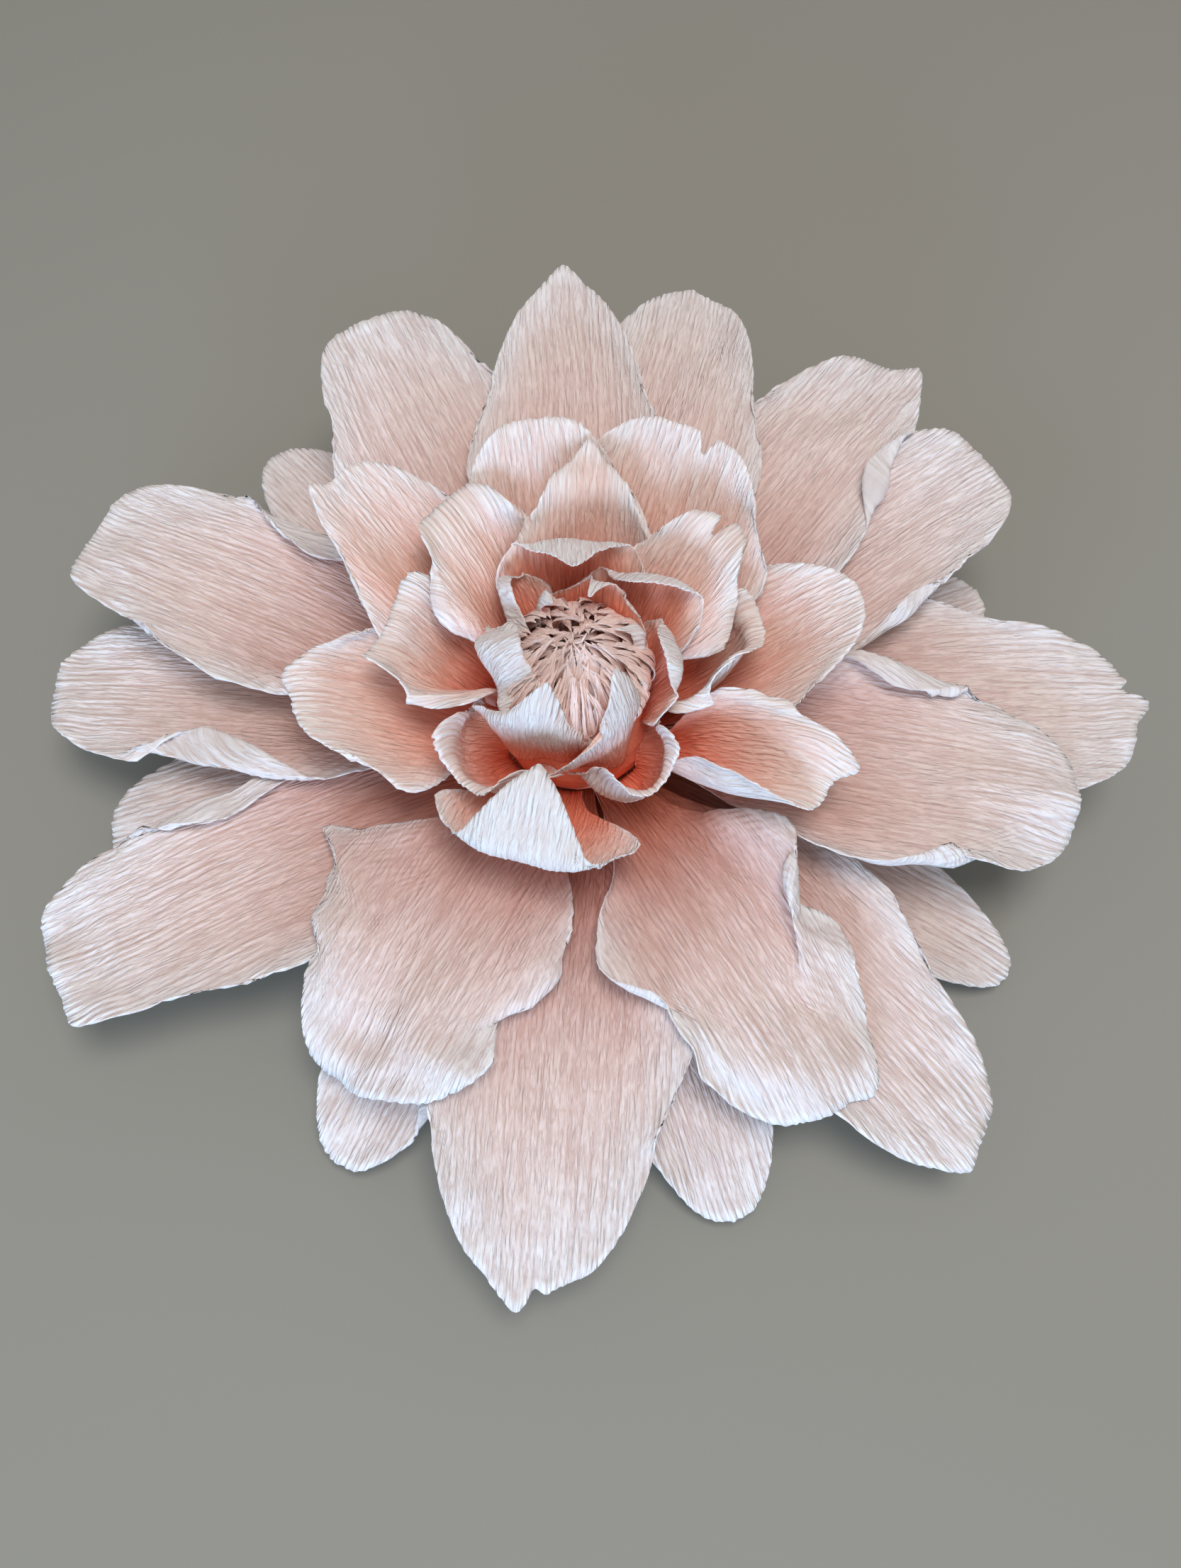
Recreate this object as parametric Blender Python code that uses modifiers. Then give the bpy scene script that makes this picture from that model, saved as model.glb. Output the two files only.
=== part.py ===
"""Large crepe paper flower: a ball core on a card disc, with every petal its own sheet of crepe.

Metres, +Z up along the flower's axis. The origin is the middle of the card disc's flat underside,
which is the face that the flower rests on. The viewer of the flower stands on the -Y side, so an
azimuth of -90 degrees is the petal nearest to them and +90 degrees the one furthest away.

Petals are laid from the outside in. Each one is bent into shape on its own, and is then lifted off
the petals under it, so that sheets which cross in plan rest on each other and never cut in.
"""

import math
from dataclasses import dataclass

import bmesh
import bpy
import numpy as np

MM = 0.001

# Paper
PAPER = 0.6 * MM
LAY_GAP = 0.35 * MM
SEAT_GAP = 0.3 * MM

# Card disc and ball core
DISC_RADIUS = 34.0 * MM
DISC_THICKNESS = 2.0 * MM
DISC_STEPS = 32
NECK_RADIUS = 16.0 * MM
BALL_RADIUS = 24.0 * MM
BALL_HEIGHT = 33.0 * MM
CORE_STEPS = 24
CORE_ROWS = 12

# Laying the petals
TABLE_CLEARANCE = 0.8 * MM
CORE_CLEARANCE = 0.9 * MM
STEEPEST_LAY = 0.3
MAP_ROWS = 220
MAP_COLUMNS = 720
MAP_REACH = 220.0 * MM
BUD_MIDDLE_ABOVE_BALL = 12.0 * MM
BUD_MIDDLE = BALL_HEIGHT + BUD_MIDDLE_ABOVE_BALL
NOTHING_LAID = -9.0
LAY_REFINEMENT = 4
MAP_REFINEMENT = 10
SPREADING_ROUNDS = 3

# How a flat petal is shaped and bent
POINT_SPREAD = 0.22
BLUNT_ROUNDNESS_LOSS = 0.35
BLUNT_SQUARENESS_GAIN = 2.0
CUP_FADE = 0.55
BEND_POWER = 1.2
CUP_STEPS = 24
MIDRIB_STEPS = 64


@dataclass(frozen=True)
class Cut:
    """The flat outline that a ring's petals are cut to, as shares of their width and length."""

    foot_share: float
    widest: float
    tip_share: float
    roundness: float
    squareness: float


@dataclass(frozen=True)
class Ring:
    """A ring of petals: the feet's latitude on the ball, their stand-off from it, and their cut."""

    latitude: float
    stand_off: float
    cut: Cut
    grid: tuple


@dataclass(frozen=True)
class Roll:
    """How one long edge of a petal curls: its angle, and where across and along it begins."""

    angle: float = 0.0
    start: float = 0.5
    low: float = 0.15
    high: float = 0.5


@dataclass(frozen=True)
class Petal:
    """One sheet: where it points, its flat size, and how it is bent. Angles are in degrees."""

    ring: str
    azimuth: float
    length: float
    width: float
    rise: float
    bend: float
    cup: float
    blunt: float = 0.0
    left: Roll = Roll()
    right: Roll = Roll()
    tip: float = 0.0
    fold: tuple = (0.72, 1.0)
    point: tuple = (0.0, 0.0)


@dataclass(frozen=True)
class Crown:
    """A comb-cut strip wound on the ball: its foot's latitude, its height, lean, bulge and teeth."""

    latitude: float
    length: float
    rise: float
    bulge: float
    teeth: int
    offset: float


FINGER_CUT = Cut(foot_share=0.20, widest=0.66, tip_share=0.72, roundness=0.26, squareness=2.4)
SPOON_CUT = Cut(foot_share=0.30, widest=0.66, tip_share=0.70, roundness=0.26, squareness=2.4)
FOLDED_CUT = Cut(foot_share=0.30, widest=0.58, tip_share=0.62, roundness=0.36, squareness=1.3)
BUD_CUT = Cut(foot_share=0.62, widest=0.50, tip_share=0.36, roundness=0.34, squareness=1.2)

RINGS = {
    "back": Ring(latitude=-60, stand_off=4.0 * MM, cut=FINGER_CUT, grid=(8, 7)),
    "middle": Ring(latitude=-46, stand_off=6.4 * MM, cut=FINGER_CUT, grid=(8, 7)),
    "front": Ring(latitude=-36, stand_off=5.6 * MM, cut=FINGER_CUT, grid=(8, 7)),
    "wide": Ring(latitude=-22, stand_off=5.6 * MM, cut=SPOON_CUT, grid=(6, 6)),
    "folded": Ring(latitude=-22, stand_off=5.6 * MM, cut=FOLDED_CUT, grid=(6, 10)),
    "small": Ring(latitude=-10, stand_off=5.4 * MM, cut=SPOON_CUT, grid=(6, 6)),
    "wall": Ring(latitude=16, stand_off=6.4 * MM, cut=BUD_CUT, grid=(4, 7)),
    "lining": Ring(latitude=37, stand_off=5.2 * MM, cut=BUD_CUT, grid=(4, 5)),
}

OUTER_PETALS = (
    Petal("back", 21, 0.124, 0.058, 8, -12, 30),
    Petal("back", -30, 0.129, 0.050, 4, -16, 60),
    Petal("back", -73, 0.131, 0.060, 6, -20, 40),
    Petal("back", -117, 0.126, 0.060, 6, -20, 40),
    Petal("back", -166, 0.128, 0.066, 6, -14, 25, blunt=0.6),
    Petal("back", 136, 0.126, 0.060, 12, -8, 30),
    Petal("middle", 0, 0.147, 0.066, 14, -16, 24, point=(0.1, 0.05)),
    Petal("middle", -50, 0.143, 0.066, 12, -22, 24, point=(-0.2, 0.03), blunt=0.4),
    Petal("middle", -95, 0.139, 0.072, 12, -22, 24, point=(-0.15, 0.06)),
    Petal("middle", -154, 0.148, 0.068, 12, -18, 24, blunt=1.0, point=(0.8, 0.05)),
    Petal("middle", 176, 0.142, 0.070, 12, -16, 24, blunt=0.5),
    Petal("middle", 32, 0.136, 0.072, 20, -12, 34, blunt=0.7),
    Petal("middle", 49, 0.141, 0.068, 20, -12, 44, point=(-0.1, 0.08)),
    Petal("middle", 75, 0.137, 0.076, 20, -8, 28, blunt=1.0),
    Petal("front", -13, 0.128, 0.076, 24, -40, 10, left=Roll(70, 0.6)),
    Petal("front", -60, 0.116, 0.076, 24, -50, -14, left=Roll(60, 0.7), blunt=0.4),
    Petal("front", -115, 0.106, 0.084, 24, -50, -10, blunt=0.6, left=Roll(-30)),
    Petal("front", 159, 0.140, 0.062, 20, -18, 24, point=(0.4, 0.08)),
    Petal("front", 118, 0.131, 0.072, 26, -16, 28, blunt=0.8),
    Petal("front", 92, 0.127, 0.068, 26, -10, 46, point=(0.0, 0.05)),
)

SPOON_PETALS = (
    Petal("wide", 13, 0.070, 0.060, 40, -10, 40),
    Petal("wide", -24, 0.058, 0.056, 36, 0, 66),
    Petal("folded", -105, 0.068, 0.066, 38, 12, 40, tip=100, fold=(0.58, 0.76)),
    Petal("wide", -175, 0.063, 0.062, 38, -6, 56),
    Petal("wide", 141, 0.080, 0.056, 44, -8, 35, point=(0.4, 0.06)),
    Petal("wide", 64, 0.074, 0.078, 50, -6, 35, blunt=0.6, point=(0.1, -0.05)),
    Petal("wide", 100, 0.072, 0.062, 52, -4, 30),
    Petal("small", 13, 0.048, 0.054, 46, 10, 66),
    Petal("small", -54, 0.042, 0.050, 60, 14, 66),
    Petal("small", -137, 0.042, 0.050, 60, 14, 66),
    Petal("small", 165, 0.050, 0.052, 44, 12, 66),
    Petal("small", 130, 0.058, 0.050, 52, 4, 56),
    Petal("small", 87, 0.055, 0.050, 58, 2, 54, point=(0.0, 0.12)),
    Petal("small", 42, 0.053, 0.050, 52, 4, 56, point=(0.0, -0.05)),
)

BUD_PETALS = (
    Petal("wall", 95, 0.052, 0.054, 74, 12, 44, tip=90, fold=(0.62, 0.80)),
    Petal("wall", 47, 0.052, 0.054, 74, 12, 44, tip=90, fold=(0.62, 0.80)),
    Petal("wall", 0, 0.050, 0.054, 70, 12, 44, tip=80, fold=(0.62, 0.80)),
    Petal("wall", -42, 0.048, 0.054, 74, 26, 44, tip=44, fold=(0.50, 0.90)),
    Petal("wall", -106, 0.048, 0.056, 74, 26, 44, tip=44, fold=(0.50, 0.90)),
    Petal("wall", -164, 0.050, 0.054, 70, 12, 44, tip=80, fold=(0.62, 0.80)),
    Petal("wall", 148, 0.052, 0.054, 72, 12, 44, tip=90, fold=(0.62, 0.80)),
    Petal("lining", 70, 0.034, 0.036, 84, 10, 50, tip=50),
    Petal("lining", 20, 0.034, 0.036, 84, 10, 50, tip=50),
    Petal("lining", -30, 0.030, 0.036, 84, 10, 50, tip=40),
    Petal("lining", -75, 0.028, 0.034, 84, 10, 40, tip=40),
    Petal("lining", -130, 0.030, 0.036, 84, 10, 50, tip=40),
    Petal("lining", 178, 0.034, 0.036, 84, 10, 50, tip=50),
    Petal("lining", 122, 0.034, 0.036, 84, 10, 50, tip=50),
)

FRINGE_CROWNS = (
    Crown(latitude=43, length=18.6 * MM, rise=91, bulge=3.0 * MM, teeth=16, offset=0.0),
    Crown(latitude=48, length=18.4 * MM, rise=97, bulge=2.8 * MM, teeth=15, offset=0.4),
    Crown(latitude=56, length=17.4 * MM, rise=101, bulge=2.5 * MM, teeth=13, offset=0.1),
    Crown(latitude=64, length=16.4 * MM, rise=104, bulge=2.1 * MM, teeth=11, offset=0.5),
    Crown(latitude=73, length=15.2 * MM, rise=102, bulge=1.3 * MM, teeth=8, offset=0.2),
)
CENTRE_TUFT = Crown(latitude=82, length=13.8 * MM, rise=99, bulge=0.6 * MM, teeth=5, offset=0.3)
CROWN_SHOULDER = 0.35
CROWN_NECK = 0.7


def smooth_step(x, low, high):
    """0 below low, 1 above high, and an even S between them."""
    share = np.clip((x - low) / (high - low), 0.0, 1.0)
    return share * share * (3.0 - 2.0 * share)


def core_radius(height):
    """Radius of the ball core at a height above the table."""
    ball = np.sqrt(np.maximum(BALL_RADIUS**2 - (height - BALL_HEIGHT) ** 2, 0.0))
    return np.where(height < BALL_HEIGHT, np.maximum(ball, NECK_RADIUS), ball)


def on_core(latitude):
    """Distance out and height of a place on the core, by its latitude on the ball."""
    angle = math.radians(latitude)
    height = BALL_HEIGHT + BALL_RADIUS * math.sin(angle)
    return float(core_radius(height)), height


def half_width(along, width, cut):
    """Half the flat width of a petal at a share of its length."""
    swell = smooth_step(along, 0.0, cut.widest)
    taper = smooth_step(along, cut.widest, 1.0)
    return 0.5 * width * (cut.foot_share + (1 - cut.foot_share) * swell - (1 - cut.tip_share) * taper)


def midrib(petal, ring):
    """Distance out, height and slope along the petal's middle line, at even shares of its length."""
    share = np.linspace(0.0, 1.0, MIDRIB_STEPS)
    turn = petal.bend * share**BEND_POWER + petal.tip * smooth_step(share, *petal.fold)
    slope = np.radians(petal.rise + turn)
    halfway = 0.5 * (slope[1:] + slope[:-1])
    step = petal.length / (MIDRIB_STEPS - 1)
    out = np.concatenate([[0.0], np.cumsum(np.cos(halfway)) * step])
    up = np.concatenate([[0.0], np.cumsum(np.sin(halfway)) * step])
    foot_out, foot_up = on_core(ring.latitude)
    return share, foot_out + ring.stand_off + PAPER / 2 + out, foot_up + up, slope


def cross_section(petal, u, v, flat):
    """How far each point lies to the side and above the midrib, for a cupped and curled sheet."""
    cup = np.radians(petal.cup) * (1.0 - CUP_FADE * v)
    left = np.radians(petal.left.angle) * smooth_step(v, petal.left.low, petal.left.high)
    right = np.radians(petal.right.angle) * smooth_step(v, petal.right.low, petal.right.high)
    start = np.where(u < 0, petal.left.start, petal.right.start)
    curl = np.where(u < 0, left, right)
    side = np.zeros_like(u)
    lift = np.zeros_like(u)
    marks = np.linspace(0.0, 1.0, CUP_STEPS + 1)
    for near, far in zip(marks[:-1], marks[1:]):
        middle = 0.5 * (near + far)
        walked = np.clip(np.abs(u) - near, 0.0, far - near) * flat
        angle = cup * middle + curl * smooth_step(middle, start, 1.0)
        side += walked * np.cos(angle)
        lift += walked * np.sin(angle)
    return side * np.sign(u), lift


def bent_sheet(petal, ring):
    """The petal's middle surface as a grid of points, before it is laid on its neighbours."""
    cut = ring.cut
    across = np.linspace(-1.0, 1.0, ring.grid[0] + 1)
    along = np.linspace(0.0, 1.0, ring.grid[1] + 1)
    u, v = np.meshgrid(across, along)

    roundness = cut.roundness * (1.0 - BLUNT_ROUNDNESS_LOSS * petal.blunt)
    edge = 1.0 - roundness * np.abs(u) ** (cut.squareness + BLUNT_SQUARENESS_GAIN * petal.blunt)
    edge += petal.point[1] * np.exp(-(((u - petal.point[0]) / POINT_SPREAD) ** 2))
    reach = v * edge
    share, out, up, slope = midrib(petal, ring)
    beyond = np.maximum(reach - 1.0, 0.0) * petal.length
    lean = np.interp(reach, share, slope)
    radius = np.interp(reach, share, out) + beyond * np.cos(lean)
    height = np.interp(reach, share, up) + beyond * np.sin(lean)

    side, lift = cross_section(petal, u, v, half_width(v, petal.width, cut))
    radius = radius - lift * np.sin(lean)
    height = height + lift * np.cos(lean)
    turn = math.radians(petal.azimuth)
    x = radius * math.cos(turn) - side * math.sin(turn)
    y = radius * math.sin(turn) + side * math.cos(turn)
    return np.stack([x, y, height], axis=-1)


def clear_of_core(points):
    """The same points, moved straight out where they would lie inside the ball core."""
    flat = np.hypot(points[..., 0], points[..., 1])
    wanted = core_radius(points[..., 2]) + CORE_CLEARANCE
    grow = np.maximum(1.0, wanted / np.maximum(flat, 1e-6))
    return points * np.stack([grow, grow, np.ones_like(grow)], axis=-1)


def seated(points):
    """The same sheet, with its foot brought level to the core that it is glued to."""
    foot = points[0]
    wanted = core_radius(foot[:, 2]) + SEAT_GAP + PAPER / 2
    spacing = np.linalg.norm(np.gradient(foot, axis=0), axis=-1)
    sag = spacing**2 / (8 * wanted)
    moved = points.copy()
    moved[0, :, :2] *= ((wanted + sag) / np.hypot(foot[:, 0], foot[:, 1]))[:, None]
    return moved


def normals_of(points):
    """Unit normals of a grid of points."""
    normal = np.cross(np.gradient(points, axis=1), np.gradient(points, axis=0))
    return normal / np.maximum(np.linalg.norm(normal, axis=-1, keepdims=True), 1e-12)


def refined(points, times):
    """The grid with each face divided times by times."""
    rows, columns = points.shape[:2]
    row = np.linspace(0, rows - 1, (rows - 1) * times + 1)
    column = np.linspace(0, columns - 1, (columns - 1) * times + 1)
    r = np.minimum(row.astype(int), rows - 2)
    c = np.minimum(column.astype(int), columns - 2)
    down = (row - r)[:, None, None]
    over = (column - c)[None, :, None]
    near = points[r][:, c] * (1 - over) + points[r][:, c + 1] * over
    far = points[r + 1][:, c] * (1 - over) + points[r + 1][:, c + 1] * over
    return near * (1 - down) + far * down


class Pile:
    """The sheets laid so far, as a map of how far they reach in each direction.

    A later sheet has to pass the level that the map holds wherever the two cross.
    """

    def __init__(self, lowest):
        self.top = np.repeat(np.broadcast_to(lowest, MAP_ROWS)[:, None], MAP_COLUMNS, axis=1).copy()

    def bins(self, points):
        """The row and column of the map that each point falls in."""
        row = np.clip((self.row_share(points) * MAP_ROWS).astype(int), 0, MAP_ROWS - 1)
        azimuth = np.arctan2(points[..., 1], points[..., 0])
        return row, (azimuth / (2 * math.pi) * MAP_COLUMNS).astype(int) % MAP_COLUMNS

    def thickness(self, points):
        """Half the paper's thickness and gap, as a step of level where the sheet is slanted."""
        facing = np.maximum(np.abs((normals_of(points) * self.way(points)).sum(-1)), STEEPEST_LAY)
        return (PAPER + LAY_GAP) / 2 / facing / self.level_size(points)

    def floor(self, points):
        """The lowest level that each point may have."""
        row, column = self.bins(points)
        highest = np.full(row.shape, NOTHING_LAID)
        for i in (-1, 0, 1):
            near_row = np.clip(row + i, 0, MAP_ROWS - 1)
            for j in (-1, 0, 1):
                highest = np.maximum(highest, self.top[near_row, (column + j) % MAP_COLUMNS])
        return highest + self.thickness(points)

    def lay(self, points):
        """Moves a sheet smoothly past the sheets that it crosses, and adds it to the map."""
        fine = refined(points, LAY_REFINEMENT)
        short = np.maximum(self.floor(fine) - self.level(fine), 0.0)
        rows, columns = points.shape[:2]
        need = np.zeros((rows, columns))
        for r in range(rows):
            for c in range(columns):
                rows_near = slice(max(LAY_REFINEMENT * (r - 1) + 1, 0), LAY_REFINEMENT * (r + 1))
                columns_near = slice(max(LAY_REFINEMENT * (c - 1) + 1, 0), LAY_REFINEMENT * (c + 1))
                need[r, c] = short[rows_near, columns_near].max()
        raised = need
        for _ in range(SPREADING_ROUNDS):
            wide = np.pad(raised, 1, mode="edge")
            around = [wide[i : i + rows, j : j + columns] for i in range(3) for j in range(3)]
            raised = np.maximum(need, sum(around) / len(around))
        laid = self.moved(points, raised)
        if self.seats_feet:
            laid = seated(laid)
        self.add(laid)
        return laid

    def add(self, points):
        """Marks where a sheet lies."""
        fine = refined(points, MAP_REFINEMENT)
        np.maximum.at(self.top, self.bins(fine), self.level(fine) + self.thickness(fine))


class OpenPile(Pile):
    """Spreading petals, which lie on each other: the level is the height angle from the origin."""

    seats_feet = True

    def __init__(self):
        reach = (np.arange(MAP_ROWS) + 0.5) * MAP_REACH / MAP_ROWS
        super().__init__(np.arcsin(np.clip(TABLE_CLEARANCE / reach, 0, 0.9)))

    def row_share(self, points):
        """Distance from the origin, as a share of the map's reach."""
        return self.level_size(points) / MAP_REACH

    def level(self, points):
        """Height angle of each point."""
        return np.arctan2(points[..., 2], np.hypot(points[..., 0], points[..., 1]))

    def level_size(self, points):
        """Length that one unit of level takes up: the distance from the origin."""
        return np.linalg.norm(points, axis=-1)

    def way(self, points):
        """Unit vector along which the level grows."""
        return self.moved(points, math.pi / 2) / self.level_size(points)[..., None]

    def moved(self, points, amount):
        """The points at a level higher by an amount."""
        angle = self.level(points) + amount
        distance = self.level_size(points)
        azimuth = np.arctan2(points[..., 1], points[..., 0])
        flat = distance * np.cos(angle)
        return np.stack([flat * np.cos(azimuth), flat * np.sin(azimuth), distance * np.sin(angle)], axis=-1)


class BudPile(Pile):
    """Upright petals, each inside the last: the level is the nearness to the bud's middle."""

    seats_feet = False
    middle = np.array([0.0, 0.0, BUD_MIDDLE])

    def __init__(self):
        super().__init__(-MAP_REACH)

    def row_share(self, points):
        """Height angle from the bud's middle, as a share of the way from straight down to straight up."""
        x, y, z = np.moveaxis(points - self.middle, -1, 0)
        return np.arctan2(z, np.hypot(x, y)) / math.pi + 0.5

    def level(self, points):
        """Distance from the bud's middle, counted downwards."""
        return -np.linalg.norm(points - self.middle, axis=-1)

    def level_size(self, points):
        """Length that one unit of level takes up."""
        return np.ones(points.shape[:-1])

    def way(self, points):
        """Unit vector along which the level grows."""
        return (points - self.middle) / self.level(points)[..., None]

    def moved(self, points, amount):
        """The points nearer to the bud's middle by an amount."""
        return points + self.way(points) * amount[..., None]


def sheet_object(name, points, faces, collection, material):
    """A closed sheet of paper from its middle surface."""
    mesh = bpy.data.meshes.new(name)
    mesh.from_pydata([tuple(p) for p in points], [], faces)
    mesh.shade_smooth()
    mesh.materials.append(material)
    item = bpy.data.objects.new(name, mesh)
    thick = item.modifiers.new("paper", "SOLIDIFY")
    thick.thickness = PAPER
    thick.offset = 0.0
    collection.objects.link(item)
    return item


def grid_faces(rows, columns):
    """Four-cornered faces of a grid of points listed row by row."""
    return [
        (r * columns + c, r * columns + c + 1, (r + 1) * columns + c + 1, (r + 1) * columns + c)
        for r in range(rows - 1)
        for c in range(columns - 1)
    ]


def crown_sheet(crown):
    """Points and faces of a comb-cut strip whose teeth lean in over the ball."""
    teeth = crown.teeth
    rise = math.radians(crown.rise)
    foot_out, foot_up = on_core(crown.latitude)
    foot_out += SEAT_GAP + PAPER / 2
    flat_side = 1.0 / math.cos(math.pi / teeth)

    def at(share):
        """Distance out and height at a share of the way from the foot to the tip."""
        along = crown.length * share
        bulge = crown.bulge * math.sin(math.pi * share)
        return (
            foot_out + along * math.cos(rise) + bulge * math.sin(rise),
            foot_up + along * math.sin(rise) - bulge * math.cos(rise),
        )

    def ring(share, shift):
        """Points round the strip at that share, turned by a part of a tooth."""
        radius, height = at(share)
        radius *= flat_side
        turns = (np.arange(teeth) + crown.offset + shift) * 2 * math.pi / teeth
        return [(radius * math.cos(t), radius * math.sin(t), height) for t in turns]

    points = ring(0, 0) + ring(CROWN_SHOULDER, 0)
    points += ring(CROWN_NECK, 0.25) + ring(CROWN_NECK, 0.75) + ring(1, 0.5)
    faces = []
    for i in range(teeth):
        j = (i + 1) % teeth
        faces.append((i, j, teeth + j, teeth + i))
        faces.append((teeth + i, teeth + j, 3 * teeth + i, 2 * teeth + i))
        faces.append((2 * teeth + i, 3 * teeth + i, 4 * teeth + i))
    return points, faces


def core_object(collection, material):
    """The turned ball with its neck, as a profile swept round the axis."""
    angles = np.linspace(0.0, math.pi, CORE_ROWS + 1)
    ball = [(BALL_RADIUS * math.sin(a), BALL_HEIGHT + BALL_RADIUS * math.cos(a)) for a in angles]
    profile = [(r, z) for a, (r, z) in zip(angles, ball) if a < math.pi / 2 or r > NECK_RADIUS]
    seat = DISC_THICKNESS + SEAT_GAP
    meet = BALL_HEIGHT - math.sqrt(BALL_RADIUS**2 - NECK_RADIUS**2)
    profile = profile + [(NECK_RADIUS, meet), (NECK_RADIUS, seat), (0.0, seat)]
    mesh = bpy.data.meshes.new("core")
    edges = [(i, i + 1) for i in range(len(profile) - 1)]
    mesh.from_pydata([(r, 0.0, z) for r, z in profile], edges, [])
    mesh.materials.append(material)
    item = bpy.data.objects.new("core", mesh)
    turned = item.modifiers.new("turned", "SCREW")
    turned.axis = "Z"
    turned.steps = CORE_STEPS
    turned.render_steps = CORE_STEPS
    turned.use_merge_vertices = True
    turned.merge_threshold = 0.01 * MM
    turned.use_smooth_shade = True
    collection.objects.link(item)
    return item


def disc_object(collection, material):
    """The card disc that everything is glued to, with its underside at the table."""
    bpy.ops.mesh.primitive_cylinder_add(
        vertices=DISC_STEPS, radius=DISC_RADIUS, depth=DISC_THICKNESS, location=(0, 0, DISC_THICKNESS / 2)
    )
    item = bpy.context.object
    item.name = "backing_disc"
    item.data.materials.append(material)
    for owner in list(item.users_collection):
        owner.objects.unlink(item)
    collection.objects.link(item)
    return item


def paper_material(name, colour, roughness=0.85):
    """A matt paper finish."""
    made = bpy.data.materials.new(name)
    made.use_nodes = True
    shader = made.node_tree.nodes["Principled BSDF"]
    shader.inputs["Base Color"].default_value = (*colour, 1.0)
    shader.inputs["Roughness"].default_value = roughness
    shader.inputs["Metallic"].default_value = 0.0
    return made


def lay_petals(family, petals, pile, collection, colour):
    """Bends and lays one family of petals, each with a material of its own."""
    laid = {}
    for number, petal in enumerate(petals, 1):
        name = f"{family}_{number:02d}"
        ring = RINGS[petal.ring]
        sheet = pile.lay(clear_of_core(bent_sheet(petal, ring)))
        rows, columns = sheet.shape[:2]
        material = paper_material(f"crepe_{name}", colour)
        sheet_object(name, sheet.reshape(-1, 3), grid_faces(rows, columns), collection, material)
        laid[name] = sheet
    return laid


def main():
    """Builds the whole flower."""
    for old in list(bpy.data.objects):
        bpy.data.objects.remove(old)
    flower = bpy.data.collections.new("paper_flower")
    bpy.context.scene.collection.children.link(flower)

    disc_object(flower, paper_material("pale_card", (0.80, 0.72, 0.62), 0.9))
    core_object(flower, paper_material("wrapped_ball", (0.86, 0.42, 0.30), 0.9))
    pile = OpenPile()
    laid = lay_petals("outer_petal", OUTER_PETALS, pile, flower, (0.85, 0.62, 0.56))
    laid |= lay_petals("spoon_petal", SPOON_PETALS, pile, flower, (0.87, 0.55, 0.42))
    bud = BudPile()
    for sheet in laid.values():
        bud.add(sheet)
    laid |= lay_petals("bud_petal", BUD_PETALS, bud, flower, (0.82, 0.40, 0.28))
    for number, crown in enumerate(FRINGE_CROWNS, 1):
        name = f"fringe_crown_{number}"
        points, faces = crown_sheet(crown)
        sheet_object(name, points, faces, flower, paper_material(f"crepe_{name}", (0.85, 0.43, 0.31)))
    points, faces = crown_sheet(CENTRE_TUFT)
    tuft_material = paper_material("crepe_centre_tuft", (0.86, 0.48, 0.36))
    sheet_object("centre_tuft", points, faces, flower, tuft_material)
    return laid


if __name__ == "__main__":
    main()
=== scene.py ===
"""Dresses the crepe paper flower: every petal as a fine sheet of ridged crepe, the fringed centre
tooth by tooth, and the card and ball behind them, under plain studio light.

Metres, +Z up the flower's axis, origin at the middle of the card disc's underside. A petal is cut
flat, bent to its own curve, and laid on the petals before it, from the outside in. The teeth of the
centre stand free, strip inside strip.
"""

from __future__ import annotations

import logging
import math
from collections import defaultdict
from dataclasses import dataclass, field
from enum import Enum
from typing import Any, Sequence

import bpy
import numpy as np
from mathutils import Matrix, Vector

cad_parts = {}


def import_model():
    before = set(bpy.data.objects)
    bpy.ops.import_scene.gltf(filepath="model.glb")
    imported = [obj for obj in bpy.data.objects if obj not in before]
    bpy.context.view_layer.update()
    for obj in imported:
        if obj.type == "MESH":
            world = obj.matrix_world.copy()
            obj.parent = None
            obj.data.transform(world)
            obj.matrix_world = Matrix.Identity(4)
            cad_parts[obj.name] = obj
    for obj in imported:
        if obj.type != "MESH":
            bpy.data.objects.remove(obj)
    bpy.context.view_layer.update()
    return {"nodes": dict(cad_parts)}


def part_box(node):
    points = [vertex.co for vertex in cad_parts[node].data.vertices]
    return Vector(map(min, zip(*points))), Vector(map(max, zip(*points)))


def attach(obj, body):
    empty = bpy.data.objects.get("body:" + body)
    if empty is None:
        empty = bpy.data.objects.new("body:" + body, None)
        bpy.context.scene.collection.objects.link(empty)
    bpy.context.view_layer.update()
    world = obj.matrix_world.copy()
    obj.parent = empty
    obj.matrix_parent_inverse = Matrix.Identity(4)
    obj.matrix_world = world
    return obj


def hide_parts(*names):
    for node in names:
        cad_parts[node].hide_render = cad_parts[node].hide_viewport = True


log = logging.getLogger("paper_flower")

MM = 0.001
BODY = "root"
WAVE_TABLE = 128
PAPER_SHEEN = 0.25

Array = np.ndarray
Colour = tuple[float, float, float]
Place = tuple[float, float, float]
Pair = tuple[float, float]


class Lay(Enum):
    """How a family of petals is stacked."""

    SPREADING = "spreading"
    UPRIGHT = "upright"


def paint(red: int, green: int, blue: int) -> Colour:
    """A colour as a painter's chart gives it, 0 to 255, turned into linear light."""

    def linear(value: int) -> float:
        share = value / 255.0
        return share / 12.92 if share <= 0.04045 else ((share + 0.055) / 1.055) ** 2.4

    return linear(red), linear(green), linear(blue)


def ease(x: Array | float, low: Array | float, high: Array | float) -> Array:
    """0 below low, 1 above high, and an even S between them."""
    share = np.clip((x - low) / (high - low), 0.0, 1.0)
    return share * share * (3.0 - 2.0 * share)


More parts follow.
